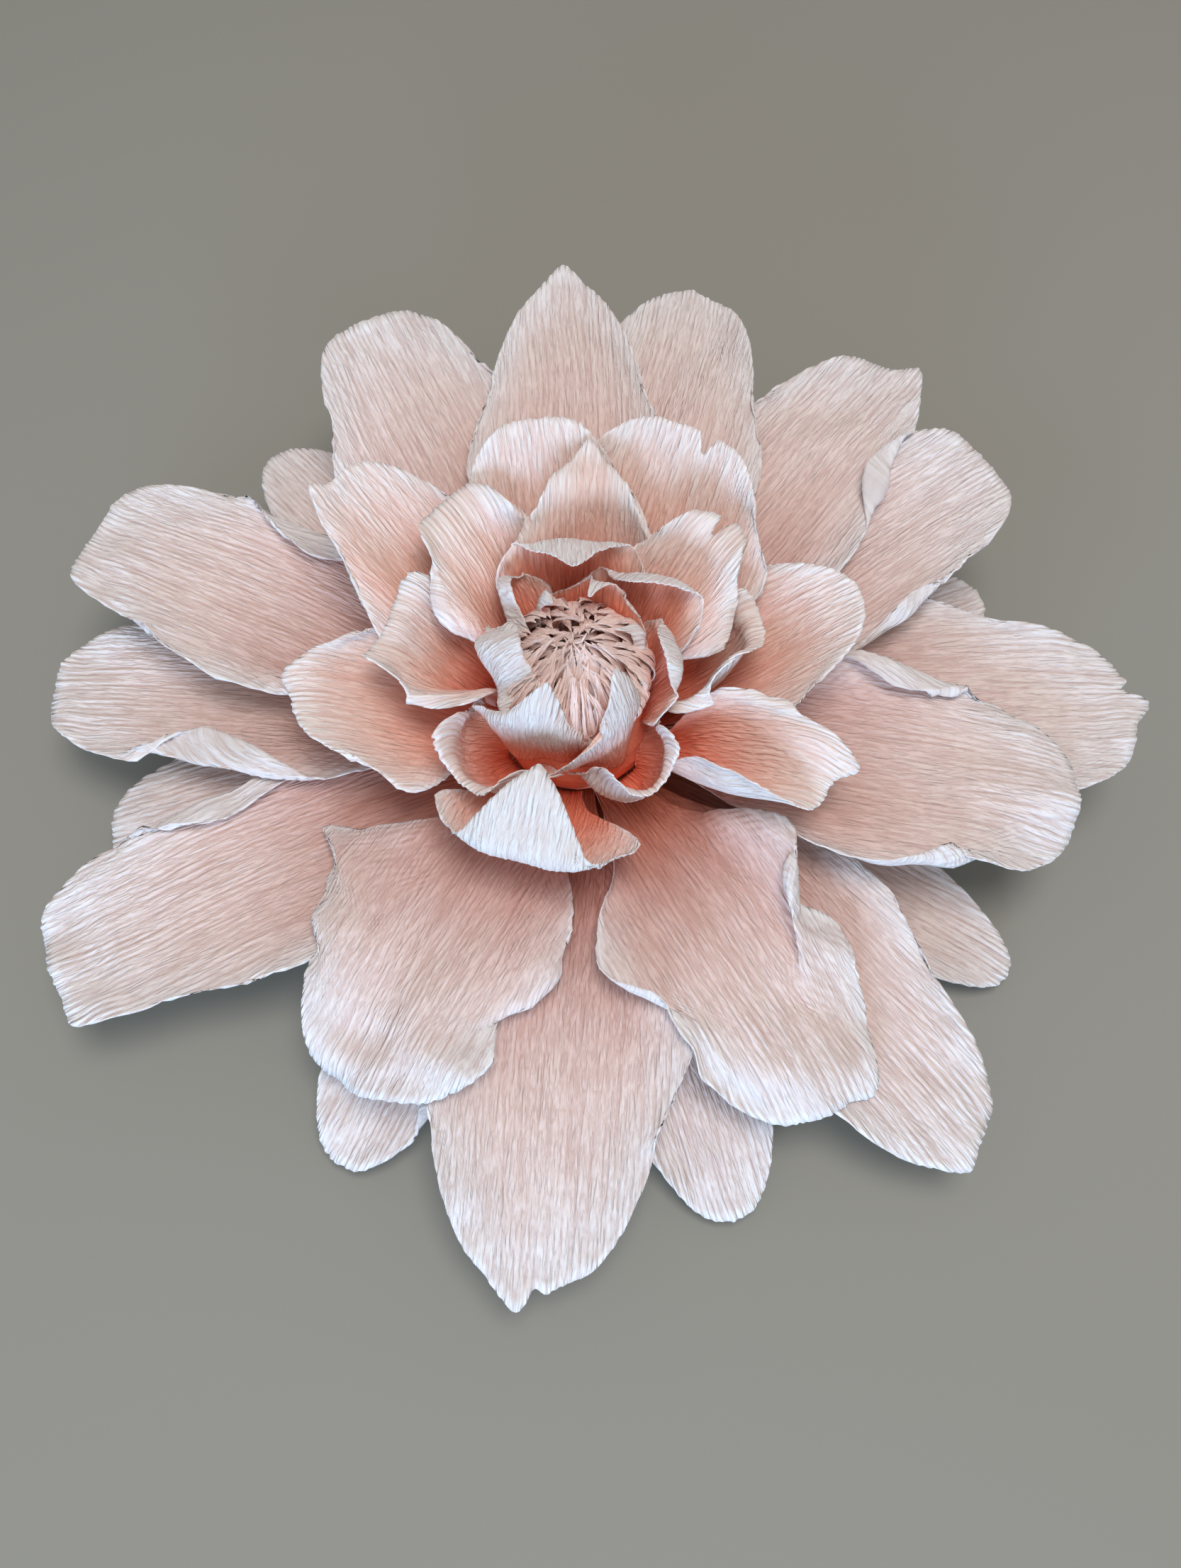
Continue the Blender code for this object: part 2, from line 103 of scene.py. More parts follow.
def ripple(x: Array, y: Array, seed: int, even: float = 0.0) -> Array:
    """Smooth irregular waves between -1 and 1, the same on every run.

    Args:
        x: Places across the waves, one unit to a wave's half length.
        y: Places along them.
        seed: Which pattern of waves.
        even: How far ridge and furrow take turns, from 0, as it comes, to 1, always.

    Returns:
        The height of the waves at each place.
    """
    size = WAVE_TABLE
    table = np.random.default_rng(seed).uniform(-1.0, 1.0, (size, size)) * (1.0 - even)
    table[:, ::2] += even
    table[:, 1::2] -= even
    column, row = np.floor(x), np.floor(y)
    across, along = x - column, y - row
    across = across * across * (3 - 2 * across)
    along = along * along * (3 - 2 * along)
    c0, r0 = column.astype(int) % size, row.astype(int) % size
    c1, r1 = (c0 + 1) % size, (r0 + 1) % size
    near = table[r0, c0] * (1 - across) + table[r0, c1] * across
    far = table[r1, c0] * (1 - across) + table[r1, c1] * across
    return near * (1 - along) + far * along


def unit(vectors: Array) -> Array:
    """The same vectors with a length of 1."""
    return vectors / np.maximum(np.linalg.norm(vectors, axis=-1, keepdims=True), 1e-12)


def normals_of(points: Array) -> Array:
    """Unit normals of a grid of points, on the side that faces the viewer of the flower."""
    return unit(np.cross(np.gradient(points, axis=0), np.gradient(points, axis=1)))


def softening(count: int, reach: float) -> Array:
    """A matrix that blurs a row of count values over a reach of that many places."""
    place = np.arange(count)
    weight = np.exp(-0.5 * ((place[:, None] - place[None, :]) / max(reach, 1e-3)) ** 2)
    return weight / weight.sum(axis=1, keepdims=True)


def stretching(coarse: int, fine: int) -> Array:
    """A matrix that spreads coarse values evenly over a fine row, with straight lines between."""
    place = np.linspace(0.0, coarse - 1.0, fine)
    low = np.minimum(place.astype(int), coarse - 2)
    share = place - low
    weight = np.zeros((fine, coarse))
    weight[np.arange(fine), low] = 1.0 - share
    weight[np.arange(fine), low + 1] += share
    return weight


def neighbours(values: Array) -> Array:
    """Each value of a grid with the eight round it, as nine grids of the same size."""
    rows, columns = values.shape
    wide = np.pad(values, 1, mode="edge")
    return np.array([wide[i : i + rows, j : j + columns] for i in (0, 1, 2) for j in (0, 1, 2)])


# The flat cut and the bend of a petal


@dataclass(frozen=True)
class Cut:
    """The flat outline that a ring's petals are cut to, as shares of their width and length."""

    foot_share: float
    widest: float
    tip_share: float
    roundness: float
    squareness: float
    cup_fade: float = 0.55


@dataclass(frozen=True)
class Roll:
    """How one long edge curls: its angle in degrees, and where across and along it does so."""

    angle: float = 0.0
    start: float = 0.5
    low: float = 0.15
    high: float = 0.5

    def strength(self, along: Array) -> Array:
        """The edge's curl in radians at each share of the length."""
        return math.radians(self.angle) * ease(along, self.low, self.high)


@dataclass(frozen=True)
class Fold:
    """A flap folded over along one long edge.

    Its side is -1 for the edge clockwise of the midrib and 1 for the other. The crease runs in from
    the edge to a depth, as a share of the half width, between the shares low, high and end of the length.
    """

    side: int
    angle: float
    depth: float
    low: float
    high: float
    end: float = 1.2
    width: float = 0.10

    def turn(self, place: float, u: Array, v: Array) -> Array:
        """The angle in radians that the fold adds at a share of the half width."""
        inward = ease(v, self.low, self.high) * (1.0 - ease(v, self.high, self.end))
        crease = 1.0 - self.depth * inward
        bent = ease(place, crease, crease + self.width)
        return np.where(u * self.side > 0, math.radians(self.angle) * bent, 0.0)


@dataclass(frozen=True)
class Dent:
    """A dip in one long edge, or a bulge where its depth is below 0.

    It has a side, a place along it, a depth in half widths and a spread.
    """

    side: int
    place: float
    depth: float
    spread: float = 0.08

    def share(self, u: Array, v: Array) -> Array:
        """The share of the half width that the dip takes away."""
        dip = self.depth * np.exp(-(((v - self.place) / self.spread) ** 2))
        return np.where(u * self.side > 0, dip, 0.0)


@dataclass(frozen=True)
class Petal:
    """One sheet: where it points, its flat size, and how it is bent. Angles are in degrees."""

    ring: str
    azimuth: float
    length: float
    width: float
    rise: float
    bend: float
    cup: float
    blunt: float = 0.0
    left: Roll = Roll()
    right: Roll = Roll()
    tip: float = 0.0
    fold: Pair = (0.72, 1.0)
    point: Pair = (0.0, 0.0)
    bowl: float = 0.0
    lip: float = 0.0
    folds: tuple[Fold, ...] = ()
    dents: tuple[Dent, ...] = ()
    nick: Pair = (0.0, 0.0)
    ruffle: float = 1.0


@dataclass(frozen=True)
class Core:
    """The ball on its neck that the petals' feet are glued to."""

    ball_radius: float
    ball_height: float
    neck_radius: float
    clearance: float = 0.9 * MM

    @classmethod
    def from_frame(cls, neck_radius: float) -> Core:
        """The core, measured on the node that stands for it."""
        low, high = (np.array(corner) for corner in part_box("core"))
        radius = (high[0] - low[0]) / 2
        return cls(radius, high[2] - radius, neck_radius)

    def radius(self, height: Array | float) -> Array:
        """Distance of the core's surface from the axis at a height above the table."""
        ball = np.sqrt(np.maximum(self.ball_radius**2 - (height - self.ball_height) ** 2, 0.0))
        return np.where(height < self.ball_height, np.maximum(ball, self.neck_radius), ball)

    def place(self, latitude: float) -> Pair:
        """Distance out and height of a place on the core, by its latitude on the ball."""
        height = self.ball_height + self.ball_radius * math.sin(math.radians(latitude))
        return float(self.radius(height)), height

    def cleared(self, points: Array) -> Array:
        """The points, moved straight out where they would lie inside the core."""
        flat = np.hypot(points[..., 0], points[..., 1])
        grow = np.maximum(1.0, (self.radius(points[..., 2]) + self.clearance) / np.maximum(flat, 1e-6))
        return points * np.stack([grow, grow, np.ones_like(grow)], axis=-1)

    def seated(self, points: Array, rows: int) -> Array:
        """The sheet with its foot brought level to the core, evenly over its first rows."""
        foot = points[0]
        wanted = self.radius(foot[:, 2]) + self.clearance
        shift = foot[:, :2] * (wanted / np.hypot(foot[:, 0], foot[:, 1]) - 1.0)[:, None]
        share = np.clip(1.0 - np.arange(len(points)) / rows, 0.0, 1.0)
        moved = points.copy()
        moved[..., :2] += share[:, None, None] * shift[None]
        return moved


@dataclass(frozen=True)
class Ring:
    """A ring of petals: the feet's latitude on the ball, their stand-off from it, and their cut."""

    latitude: float
    stand_off: float
    cut: Cut


@dataclass(frozen=True)
class Grain:
    """The crepe's ridges and the sheet's larger unevenness."""

    height: float = 0.38 * MM
    pitch: float = 1.9 * MM
    run: float = 17.0 * MM
    fine_share: float = 0.5
    wander: float = 1.6 * MM
    buckle: float = 0.7 * MM
    saw: float = 0.35 * MM


@dataclass
class SheetForm:
    """Works out a petal's middle surface."""

    petal: Petal
    ring: Ring
    core: Core
    grain: Grain
    columns: int
    rows: int
    seed: int
    thickness: float
    shares: Array = field(init=False)
    flat: Array = field(init=False)

    midrib_places = 96
    section_places = 81
    bend_power = 1.2
    blunt_roundness = 0.35
    blunt_squareness = 2.0
    point_spread = 0.22
    nick_spread = 0.07
    lip_end = (0.84, 1.0)
    lip_side = (0.80, 0.97)
    hollow_place = 0.45
    hollow_size = (0.62, 0.36)
    hollow_edge = 1.4
    tooth_width = (0.9 * MM, 1.6 * MM)
    foot_squeeze = 0.72
    evenness = 0.45

    def midrib(self) -> tuple[Array, Array, Array, Array]:
        """Share of the length, distance out, height and slope along the petal's middle line."""
        petal = self.petal
        share = np.linspace(0.0, 1.0, self.midrib_places)
        turn = petal.bend * share**self.bend_power + petal.tip * ease(share, *petal.fold)
        turn = turn - petal.lip * ease(share, *self.lip_end)
        slope = np.radians(petal.rise + turn)
        halfway = 0.5 * (slope[1:] + slope[:-1])
        step = petal.length / (len(share) - 1)
        out = np.concatenate([[0.0], np.cumsum(np.cos(halfway)) * step])
        up = np.concatenate([[0.0], np.cumsum(np.sin(halfway)) * step])
        foot_out, foot_up = self.core.place(self.ring.latitude)
        return share, foot_out + self.ring.stand_off + self.thickness / 2 + out, foot_up + up, slope

    def half_width(self, along: Array) -> Array:
        """Half the flat width at a share of the length, with the cut's small unevenness."""
        cut = self.ring.cut
        swell = ease(along, 0.0, cut.widest)
        taper = ease(along, cut.widest, 1.0)
        share = cut.foot_share + (1 - cut.foot_share) * swell - (1 - cut.tip_share) * taper
        return 0.5 * self.petal.width * share

    def reach(self, u: Array) -> Array:
        """How far along the petal its end edge lies, at each place across."""
        cut, petal = self.ring.cut, self.petal
        roundness = cut.roundness * (1.0 - self.blunt_roundness * petal.blunt)
        edge = 1.0 - roundness * np.abs(u) ** (cut.squareness + self.blunt_squareness * petal.blunt)
        edge = edge + petal.point[1] * np.exp(-(((u - petal.point[0]) / self.point_spread) ** 2))
        return edge - petal.nick[1] * np.exp(-(((u - petal.nick[0]) / self.nick_spread) ** 2))

    def cross_section(self, u: Array, v: Array, flat: Array) -> tuple[Array, Array]:
        """How far each point lies to the side and above the midrib, for a cupped and curled sheet."""
        petal = self.petal
        cup = np.radians(petal.cup) * (1.0 - self.ring.cut.cup_fade * v)
        curl = np.where(u < 0, petal.left.strength(v), petal.right.strength(v))
        start = np.where(u < 0, petal.left.start, petal.right.start)
        flared = ease(v, 0.2, 0.5)
        side = np.zeros_like(u)
        lift = np.zeros_like(u)
        marks = np.linspace(0.0, 1.0, self.section_places)
        for near, far in zip(marks[:-1], marks[1:]):
            middle = 0.5 * (near + far)
            walked = np.clip(np.abs(u) - near, 0.0, far - near) * flat
            angle = cup * middle + curl * ease(middle, start, 1.0)
            angle = angle + sum(fold.turn(middle, u, v) for fold in petal.folds)
            angle = angle - math.radians(petal.lip) * ease(middle, *self.lip_side) * flared
            side += walked * np.cos(angle)
            lift += walked * np.sin(angle)
        wide, long = self.hollow_size
        hollow = np.exp(-(((u / wide) ** 2 + ((v - self.hollow_place) / long) ** 2) ** self.hollow_edge))
        return side * np.sign(u), lift + petal.bowl * ease(v, 0.0, 0.3) * (1.0 - hollow)

    def teeth(self, place: Array, line: Array, towards: Array, number: int) -> Array:
        """The fine teeth of a cut edge, which fade out away from it."""
        return self.grain.saw * ripple(place, line, self.seed + number) * ease(towards, 0.9, 1.0)

    def bent(self) -> Array:
        """The petal's middle surface as a grid of points, before it is laid on its neighbours."""
        petal = self.petal
        u, v = np.meshgrid(np.linspace(-1.0, 1.0, self.columns), np.linspace(0.0, 1.0, self.rows))
        flat = self.half_width(v) * (1.0 - sum(dent.share(u, v) for dent in petal.dents))
        across, along = u * flat, v * petal.length
        end_tooth, side_tooth = self.tooth_width
        reach = v * self.reach(u) + self.teeth(across / end_tooth, v * 0 + 3.0, v, 5) / petal.length
        flat = flat + self.teeth(along / side_tooth, np.sign(u), np.abs(u), 6) * ease(v, 0.15, 0.5)

        share, out, up, slope = self.midrib()
        beyond = np.maximum(reach - 1.0, 0.0) * petal.length
        lean = np.interp(reach, share, slope)
        radius = np.interp(reach, share, out) + beyond * np.cos(lean)
        height = np.interp(reach, share, up) + beyond * np.sin(lean)
        side, lift = self.cross_section(u, v, flat)
        radius = radius - lift * np.sin(lean)
        height = height + lift * np.cos(lean)
        turn = math.radians(petal.azimuth)
        x = radius * math.cos(turn) - side * math.sin(turn)
        y = radius * math.sin(turn) + side * math.cos(turn)
        self.shares = np.stack([u, v], axis=-1)
        self.flat = np.stack([across, reach * petal.length], axis=-1)
        points = np.stack([x, y, height], axis=-1)
        return points + normals_of(points) * self.unevenness()[..., None]

    def waves(self, wide: float, long: float, number: int) -> Array:
        """The sheet's own irregular waves of a width and a length in millimetres, by their number."""
        across, along = np.moveaxis(self.flat, -1, 0)
        return ripple(across / (wide * MM), along / (long * MM), self.seed + number)

    def unevenness(self) -> Array:
        """Broad buckles all over, and soft waves that grow towards the free edge."""
        u, v = np.moveaxis(self.shares, -1, 0)
        buckle = self.waves(11, 34, 1) * ease(v, 0.05, 0.4)
        sides = ease(np.abs(u), 0.55, 1.0) * ease(v, 0.2, 0.6)
        wave = self.waves(9, 9, 2) * np.maximum(sides, ease(v, 0.75, 1.0))
        return self.grain.buckle * (buckle + 1.6 * self.petal.ruffle * wave)

    def ridges(self) -> Array:
        """Height of the crepe's lengthwise ridges, between about -1 and 1."""
        grain, squeeze = self.grain, self.foot_squeeze
        across, along = np.moveaxis(self.flat, -1, 0)
        u, v = np.moveaxis(self.shares, -1, 0)
        across = across / (squeeze + (1.0 - squeeze) * ease(v, 0.0, 0.5))
        across = across + grain.wander * ripple(across / (14 * MM), along / (30 * MM), self.seed + 3)
        half = grain.pitch / 2
        one = ripple(across / half, along / grain.run, self.seed + 4, self.evenness)
        other = ripple(across / (half * 0.84), along / grain.run, self.seed + 9, self.evenness)
        patch = ease(ripple(across / (7 * MM), along / (16 * MM), self.seed + 8), -0.25, 0.25)
        broad = one * patch + other * (1.0 - patch)
        fine = ripple(across / (half * 0.55), along / (grain.run * 0.4), self.seed + 7)
        open_ends = np.maximum(ease(v, 0.35, 1.0), 0.8 * ease(np.abs(u), 0.5, 1.0))
        return broad * (0.5 + 0.5 * open_ends) + grain.fine_share * fine * (1.0 - 0.4 * open_ends)

    def ridged(self, grid: Array, ridge: Array) -> Array:
        """A laid grid with the ridges raised on it."""
        return grid + normals_of(grid) * (ridge * self.grain.height)[..., None]


# Laying sheets on each other


class Pile:
    """The sheets laid so far, as a map of how far they reach in each direction.

    A later sheet has to pass the level that the map holds wherever the two cross.
    """

    map_rows = 220
    map_columns = 720
    steepest = 0.3
    cell = (4.5 * MM, 6.0 * MM)
    fewest_cells = 4
    spreading_rounds = 3
    blur = 0.6
    mark = 0.35 * MM
    nothing = -9.0

    def __init__(self, lowest: Array | float, gap: float, thickness: float) -> None:
        """Starts with nothing laid but the lowest level of each row."""
        rows = np.broadcast_to(lowest, self.map_rows)
        self.top = np.repeat(rows[:, None], self.map_columns, axis=1).copy()
        self.half = (gap + thickness) / 2

    def row_share(self, points: Array) -> Array:
        """Where along the map's rows each point falls, from 0 to 1."""
        raise NotImplementedError

    def level(self, points: Array) -> Array:
        """How far on each point lies."""
        raise NotImplementedError

    def level_size(self, points: Array) -> Array:
        """The length that one unit of level takes up at each point."""
        raise NotImplementedError

    def moved(self, points: Array, amount: Array) -> Array:
        """The points with their level changed by an amount."""
        raise NotImplementedError

    def way(self, points: Array) -> Array:
        """Unit vector along which the level grows."""
        raise NotImplementedError

    def bins(self, points: Array) -> tuple[Array, Array]:
        """The row and column of the map that each point falls in."""
        row = np.clip((self.row_share(points) * self.map_rows).astype(int), 0, self.map_rows - 1)
        azimuth = np.arctan2(points[..., 1], points[..., 0])
        return row, (azimuth / (2 * math.pi) * self.map_columns).astype(int) % self.map_columns

    def thickness(self, points: Array) -> Array:
        """Half the paper and its gap, as a step of level where the sheet is slanted."""
        facing = np.maximum(np.abs((normals_of(points) * self.way(points)).sum(-1)), self.steepest)
        return self.half / facing / self.level_size(points)

    def floor(self, points: Array) -> Array:
        """The lowest level that each point may have."""
        row, column = self.bins(points)
        highest = np.full(row.shape, self.nothing)
        for i in (-1, 0, 1):
            near = np.clip(row + i, 0, self.map_rows - 1)
            for j in (-1, 0, 1):
                highest = np.maximum(highest, self.top[near, (column + j) % self.map_columns])
        return highest + self.thickness(points)

    def lay(self, points: Array, form: SheetForm) -> Array:
        """Moves a sheet smoothly past the sheets that it crosses.

        Args:
            points: The sheet's grid of points.
            form: The form that the grid comes from, for its size and divisions.

        Returns:
            The grid where it lies.
        """
        need = np.maximum(self.floor(points) - self.level(points), 0.0)
        rows, columns = need.shape
        a = max(self.fewest_cells, round(form.petal.length / self.cell[1]))
        b = max(self.fewest_cells, round(form.petal.width / self.cell[0]))
        row = np.arange(rows) * a // rows
        column = np.arange(columns) * b // columns
        coarse = np.zeros((a, b))
        np.maximum.at(coarse, (row[:, None], column[None, :]), need)
        for _ in range(self.spreading_rounds):
            coarse = np.maximum(coarse, neighbours(coarse).mean(axis=0))
        raised = stretching(a, rows) @ neighbours(coarse).max(axis=0) @ stretching(b, columns).T
        down, over = softening(rows, rows / a * self.blur), softening(columns, columns / b * self.blur)
        return self.moved(points, down @ raised @ over.T)

    def add(self, points: Array) -> None:
        """Marks where a sheet lies, at points closer together than the map's cells."""
        rows, columns = points.shape[:2]
        long = np.linalg.norm(np.diff(points[:, columns // 2], axis=0), axis=-1).sum()
        wide = np.linalg.norm(np.diff(points[rows // 2], axis=0), axis=-1).sum()
        down = stretching(rows, max(rows, round(long / self.mark)))
        over = stretching(columns, max(columns, round(wide / self.mark)))
        fine = np.einsum("ij,jkc,lk->ilc", down, points, over, optimize=True)
        np.maximum.at(self.top, self.bins(fine), self.level(fine) + self.thickness(fine))


class OpenPile(Pile):
    """Spreading petals, which lie on each other: the level is the height angle from the origin."""

    reach = 220.0 * MM
    table = 0.8 * MM

    def __init__(self, gap: float, thickness: float) -> None:
        """Starts with the table as the lowest level."""
        distance = (np.arange(self.map_rows) + 0.5) * self.reach / self.map_rows
        super().__init__(np.arcsin(np.clip(self.table / distance, 0, 0.9)), gap, thickness)

    def row_share(self, points: Array) -> Array:
        """Distance from the origin, as a share of the map's reach."""
        return self.level_size(points) / self.reach

    def level(self, points: Array) -> Array:
        """Height angle of each point."""
        return np.arctan2(points[..., 2], np.hypot(points[..., 0], points[..., 1]))

    def level_size(self, points: Array) -> Array:
        """The distance from the origin."""
        return np.linalg.norm(points, axis=-1)

    def way(self, points: Array) -> Array:
        """Unit vector along which the height angle grows."""
        return unit(self.moved(points, np.full(points.shape[:-1], math.pi / 2)))

    def moved(self, points: Array, amount: Array) -> Array:
        """The points at a height angle larger by an amount."""
        angle = self.level(points) + amount
        distance = self.level_size(points)
        azimuth = np.arctan2(points[..., 1], points[..., 0])
        flat = distance * np.cos(angle)
        return np.stack([flat * np.cos(azimuth), flat * np.sin(azimuth), distance * np.sin(angle)], axis=-1)


class BudPile(Pile):
    """Upright petals, each inside the last: the level is the nearness to the bud's middle."""

    reach = 220.0 * MM

    def __init__(self, middle: float, gap: float, thickness: float) -> None:
        """Starts with nothing round the bud's middle."""
        super().__init__(-self.reach, gap, thickness)
        self.middle = np.array([0.0, 0.0, middle])

    def row_share(self, points: Array) -> Array:
        """Height angle from the bud's middle, from straight down to straight up."""
        x, y, z = np.moveaxis(points - self.middle, -1, 0)
        return np.arctan2(z, np.hypot(x, y)) / math.pi + 0.5

    def level(self, points: Array) -> Array:
        """Distance from the bud's middle, counted downwards."""
        return -np.linalg.norm(points - self.middle, axis=-1)

    def level_size(self, points: Array) -> Array:
        """One unit of level is one metre."""
        return np.ones(points.shape[:-1])

    def way(self, points: Array) -> Array:
        """Unit vector towards the bud's middle."""
        return unit(self.middle - points)

    def moved(self, points: Array, amount: Array) -> Array:
        """The points nearer to the bud's middle by an amount."""
        return points + self.way(points) * amount[..., None]


# Shader maths


class Wire:
    """A socket of a shader, which can be added, multiplied and mixed as if it were a number."""

    def __init__(self, board: Board, socket: Any) -> None:
        """Holds a socket of a board."""
        self.board = board
        self.socket = socket

    def _math(self, operation: str, *values: Wire | float) -> Wire:
        """A Math node on these values."""
        return self.board.node("ShaderNodeMath", {"operation": operation}, dict(enumerate(values)))

    def __add__(self, other: Wire | float) -> Wire:
        """Sum."""
        return self._math("ADD", self, other)

    __radd__ = __add__

    def __sub__(self, other: Wire | float) -> Wire:
        """Difference."""
        return self._math("SUBTRACT", self, other)

    def __rsub__(self, other: float) -> Wire:
        """Difference from a number."""
        return self._math("SUBTRACT", other, self)

    def __mul__(self, other: Wire | float) -> Wire:
        """Product."""
        return self._math("MULTIPLY", self, other)

    __rmul__ = __mul__

    def __abs__(self) -> Wire:
        """Size without its sign."""
        return self._math("ABSOLUTE", self)

    def __pow__(self, power: float) -> Wire:
        """Power."""
        return self._math("POWER", self, power)

    def step(self, low: float, high: float) -> Wire:
        """0 below low, 1 above high, and an even S between them."""
        values = {"Value": self, "From Min": low, "From Max": high}
        return self.board.node("ShaderNodeMapRange", {"interpolation_type": "SMOOTHSTEP"}, values)


class Board:
    """The nodes of one material."""

    def __init__(self, name: str) -> None:
        """Starts a material with only its shader and output."""
        self.material = bpy.data.materials.new(name)
        self.material.use_nodes = True
        self.tree = self.material.node_tree
        self.shader = self.tree.nodes["Principled BSDF"]

    def node(
        self, kind: str, settings: dict[str, Any], values: dict[Any, Any], output: int | str = 0
    ) -> Wire:
        """Adds a node.

        Args:
            kind: The node's type.
            settings: Its settings, which are set before its sockets.
            values: Its inputs by name or number, each a Wire, a number or a tuple of numbers.
            output: The output that is used.

        Returns:
            That output.
        """
        made = self.tree.nodes.new(kind)
        for name, value in settings.items():
            setattr(made, name, value)
        for key, value in values.items():
            self.feed(made.inputs[key], value)
        return Wire(self, made.outputs[output])

    def feed(self, socket: Any, value: Any) -> None:
        """Gives a socket a value or a link."""
        if isinstance(value, Wire):
            self.tree.links.new(value.socket, socket)
        else:
            socket.default_value = value

    def colour(
        self, factor: Wire | float, first: Wire | Colour, second: Wire | Colour, blend: str = "MIX"
    ) -> Wire:
        """A mix of two colours."""
        made = self.tree.nodes.new("ShaderNodeMix")
        made.data_type = "RGBA"
        made.blend_type = blend
        self.feed(made.inputs["Factor"], factor)
        for name, value in (("A", first), ("B", second)):
            socket = next(s for s in made.inputs if s.name == name and s.type == "RGBA")
            self.feed(socket, value if isinstance(value, Wire) else (*value, 1.0))
        return Wire(self, next(s for s in made.outputs if s.type == "RGBA"))

    def noise(self, place: Wire, scale: Sequence[float], detail: float = 2.0) -> Wire:
        """Cloudy noise whose grains may be longer one way than another."""
        grid = self.node("ShaderNodeVectorMath", {"operation": "MULTIPLY"}, {0: place, 1: tuple(scale)})
        return self.node("ShaderNodeTexNoise", {}, {"Vector": grid, "Scale": 1.0, "Detail": detail})

    def bump(self, height: Wire, strength: float, depth: float) -> Wire:
        """A fine relief."""
        return self.node("ShaderNodeBump", {}, {"Strength": strength, "Distance": depth, "Height": height})

    def stored(self, name: str, output: str = "Vector") -> Wire:
        """What the mesh stores under a name."""
        return self.node("ShaderNodeAttribute", {"attribute_name": name}, {}, output)

    def finish(self, **inputs: Any) -> Any:
        """Sets the shader's sockets by their names, with _ for a space, and returns the material."""
        for name, value in inputs.items():
            self.feed(self.shader.inputs[name.replace("_", " ")], value)
        return self.material


@dataclass(frozen=True)
class CrepeFinish:
    """Dyed crepe, with painted shade and painted glow deep at the petal's foot, a free edge that is partly
    paler paper and partly painted cool highlight, painted shade in the ridges' valleys, and a pale back.
    """

    # The foot colour is the paper's colour deepened with painted shade and painted glow for the petal's foot;
    # it fades into the middle colour along the length.
    foot: Colour
    middle: Colour
    # The edge colour is partly the paper's paler tips and partly painted cool highlight.
    edge: Colour
    back: Colour
    # The valley colour is painted shade, multiplied into the ridges' furrows and the crinkle streaks.
    valley_shade: Colour
    # A near-white rim at the cut edges: partly the paper's paler edge, partly painted highlight.
    pale_rim_and_highlight: Colour = paint(255, 252, 250)
    foot_shade_end: float = 0.45
    roughness: float = 0.82
    bump: float = 0.9
    bump_depth: float = 0.8 * MM
    cloud_scale: Place = (55.0, 22.0, 1.0)
    streak_scale: Place = (620.0, 95.0, 1.0)
    fibre_scale: Place = (2600.0, 500.0, 1.0)
    pale_rim_and_highlight_strength: float = 0.8
    # How strongly the painted valley shade darkens the face and the back.
    face_valley_shade: float = 0.55
    back_valley_shade: float = 0.4

    def material(self, name: str) -> Any:
        """Builds the finish.

        Args:
            name: The material's name.

        Returns:
            The material, which reads the sheet's stored places.
        """
        board = Board(name)
        sheet = board.stored("sheet")
        share = board.stored("share")
        split = board.node("ShaderNodeSeparateXYZ", {}, {0: share}).socket.node
        u, v, ridge = (Wire(board, split.outputs[axis]) for axis in "XYZ")
        cloud = board.noise(sheet, self.cloud_scale, 3.0)
        streak = abs(board.noise(sheet, self.streak_scale) - 0.5) * 4.0
        fibre = board.noise(sheet, self.fibre_scale, 3.0)

        # Painted shade and painted glow at the petal's foot, fading into the middle colour along the length.
        depth = (v + (cloud - 0.5) * 0.25).step(0.0, self.foot_shade_end)
        # Paler towards the tip and the long edges: partly the paper's paler tips, partly painted cool
        # highlight.
        rim = (abs(u) ** 4.0 * 0.8 * v.step(0.1, 0.5)) + v ** 2.2 * 1.15
        rim = (rim + (cloud - 0.5) * 0.4).step(0.2, 1.3)
        colour = board.colour(depth, self.foot, self.middle)
        colour = board.colour(rim, colour, self.edge)
        # Near-white rim at the cut edges: partly the paper's paler edge, partly painted highlight.
        margin = abs(u).step(0.93, 1.0) * v.step(0.2, 0.5) + v.step(0.965, 1.0)
        colour = board.colour(margin.step(0.0, 1.0) * self.pale_rim_and_highlight_strength, colour, self.pale_rim_and_highlight)
        # Painted shade in the ridges' furrows and along the crinkle streaks, on the face and on the back.
        dip = (0.5 - ridge * 0.35 - (streak - 0.5) * 0.5).step(0.35, 1.0)
        colour = board.colour(dip * self.face_valley_shade, colour, self.valley_shade, "MULTIPLY")
        back = board.colour(v.step(0.1, 0.7), self.middle, self.back)
        back = board.colour(dip * self.back_valley_shade, back, self.valley_shade, "MULTIPLY")
        colour = board.colour(board.stored("outside", "Fac"), colour, back)
        normal = board.bump(streak * 0.75 + fibre * 0.25, self.bump, self.bump_depth)
        rough = self.roughness + (fibre - 0.5) * 0.12
        return board.finish(Base_Color=colour, Roughness=rough, Normal=normal, Specular_IOR_Level=PAPER_SHEEN)


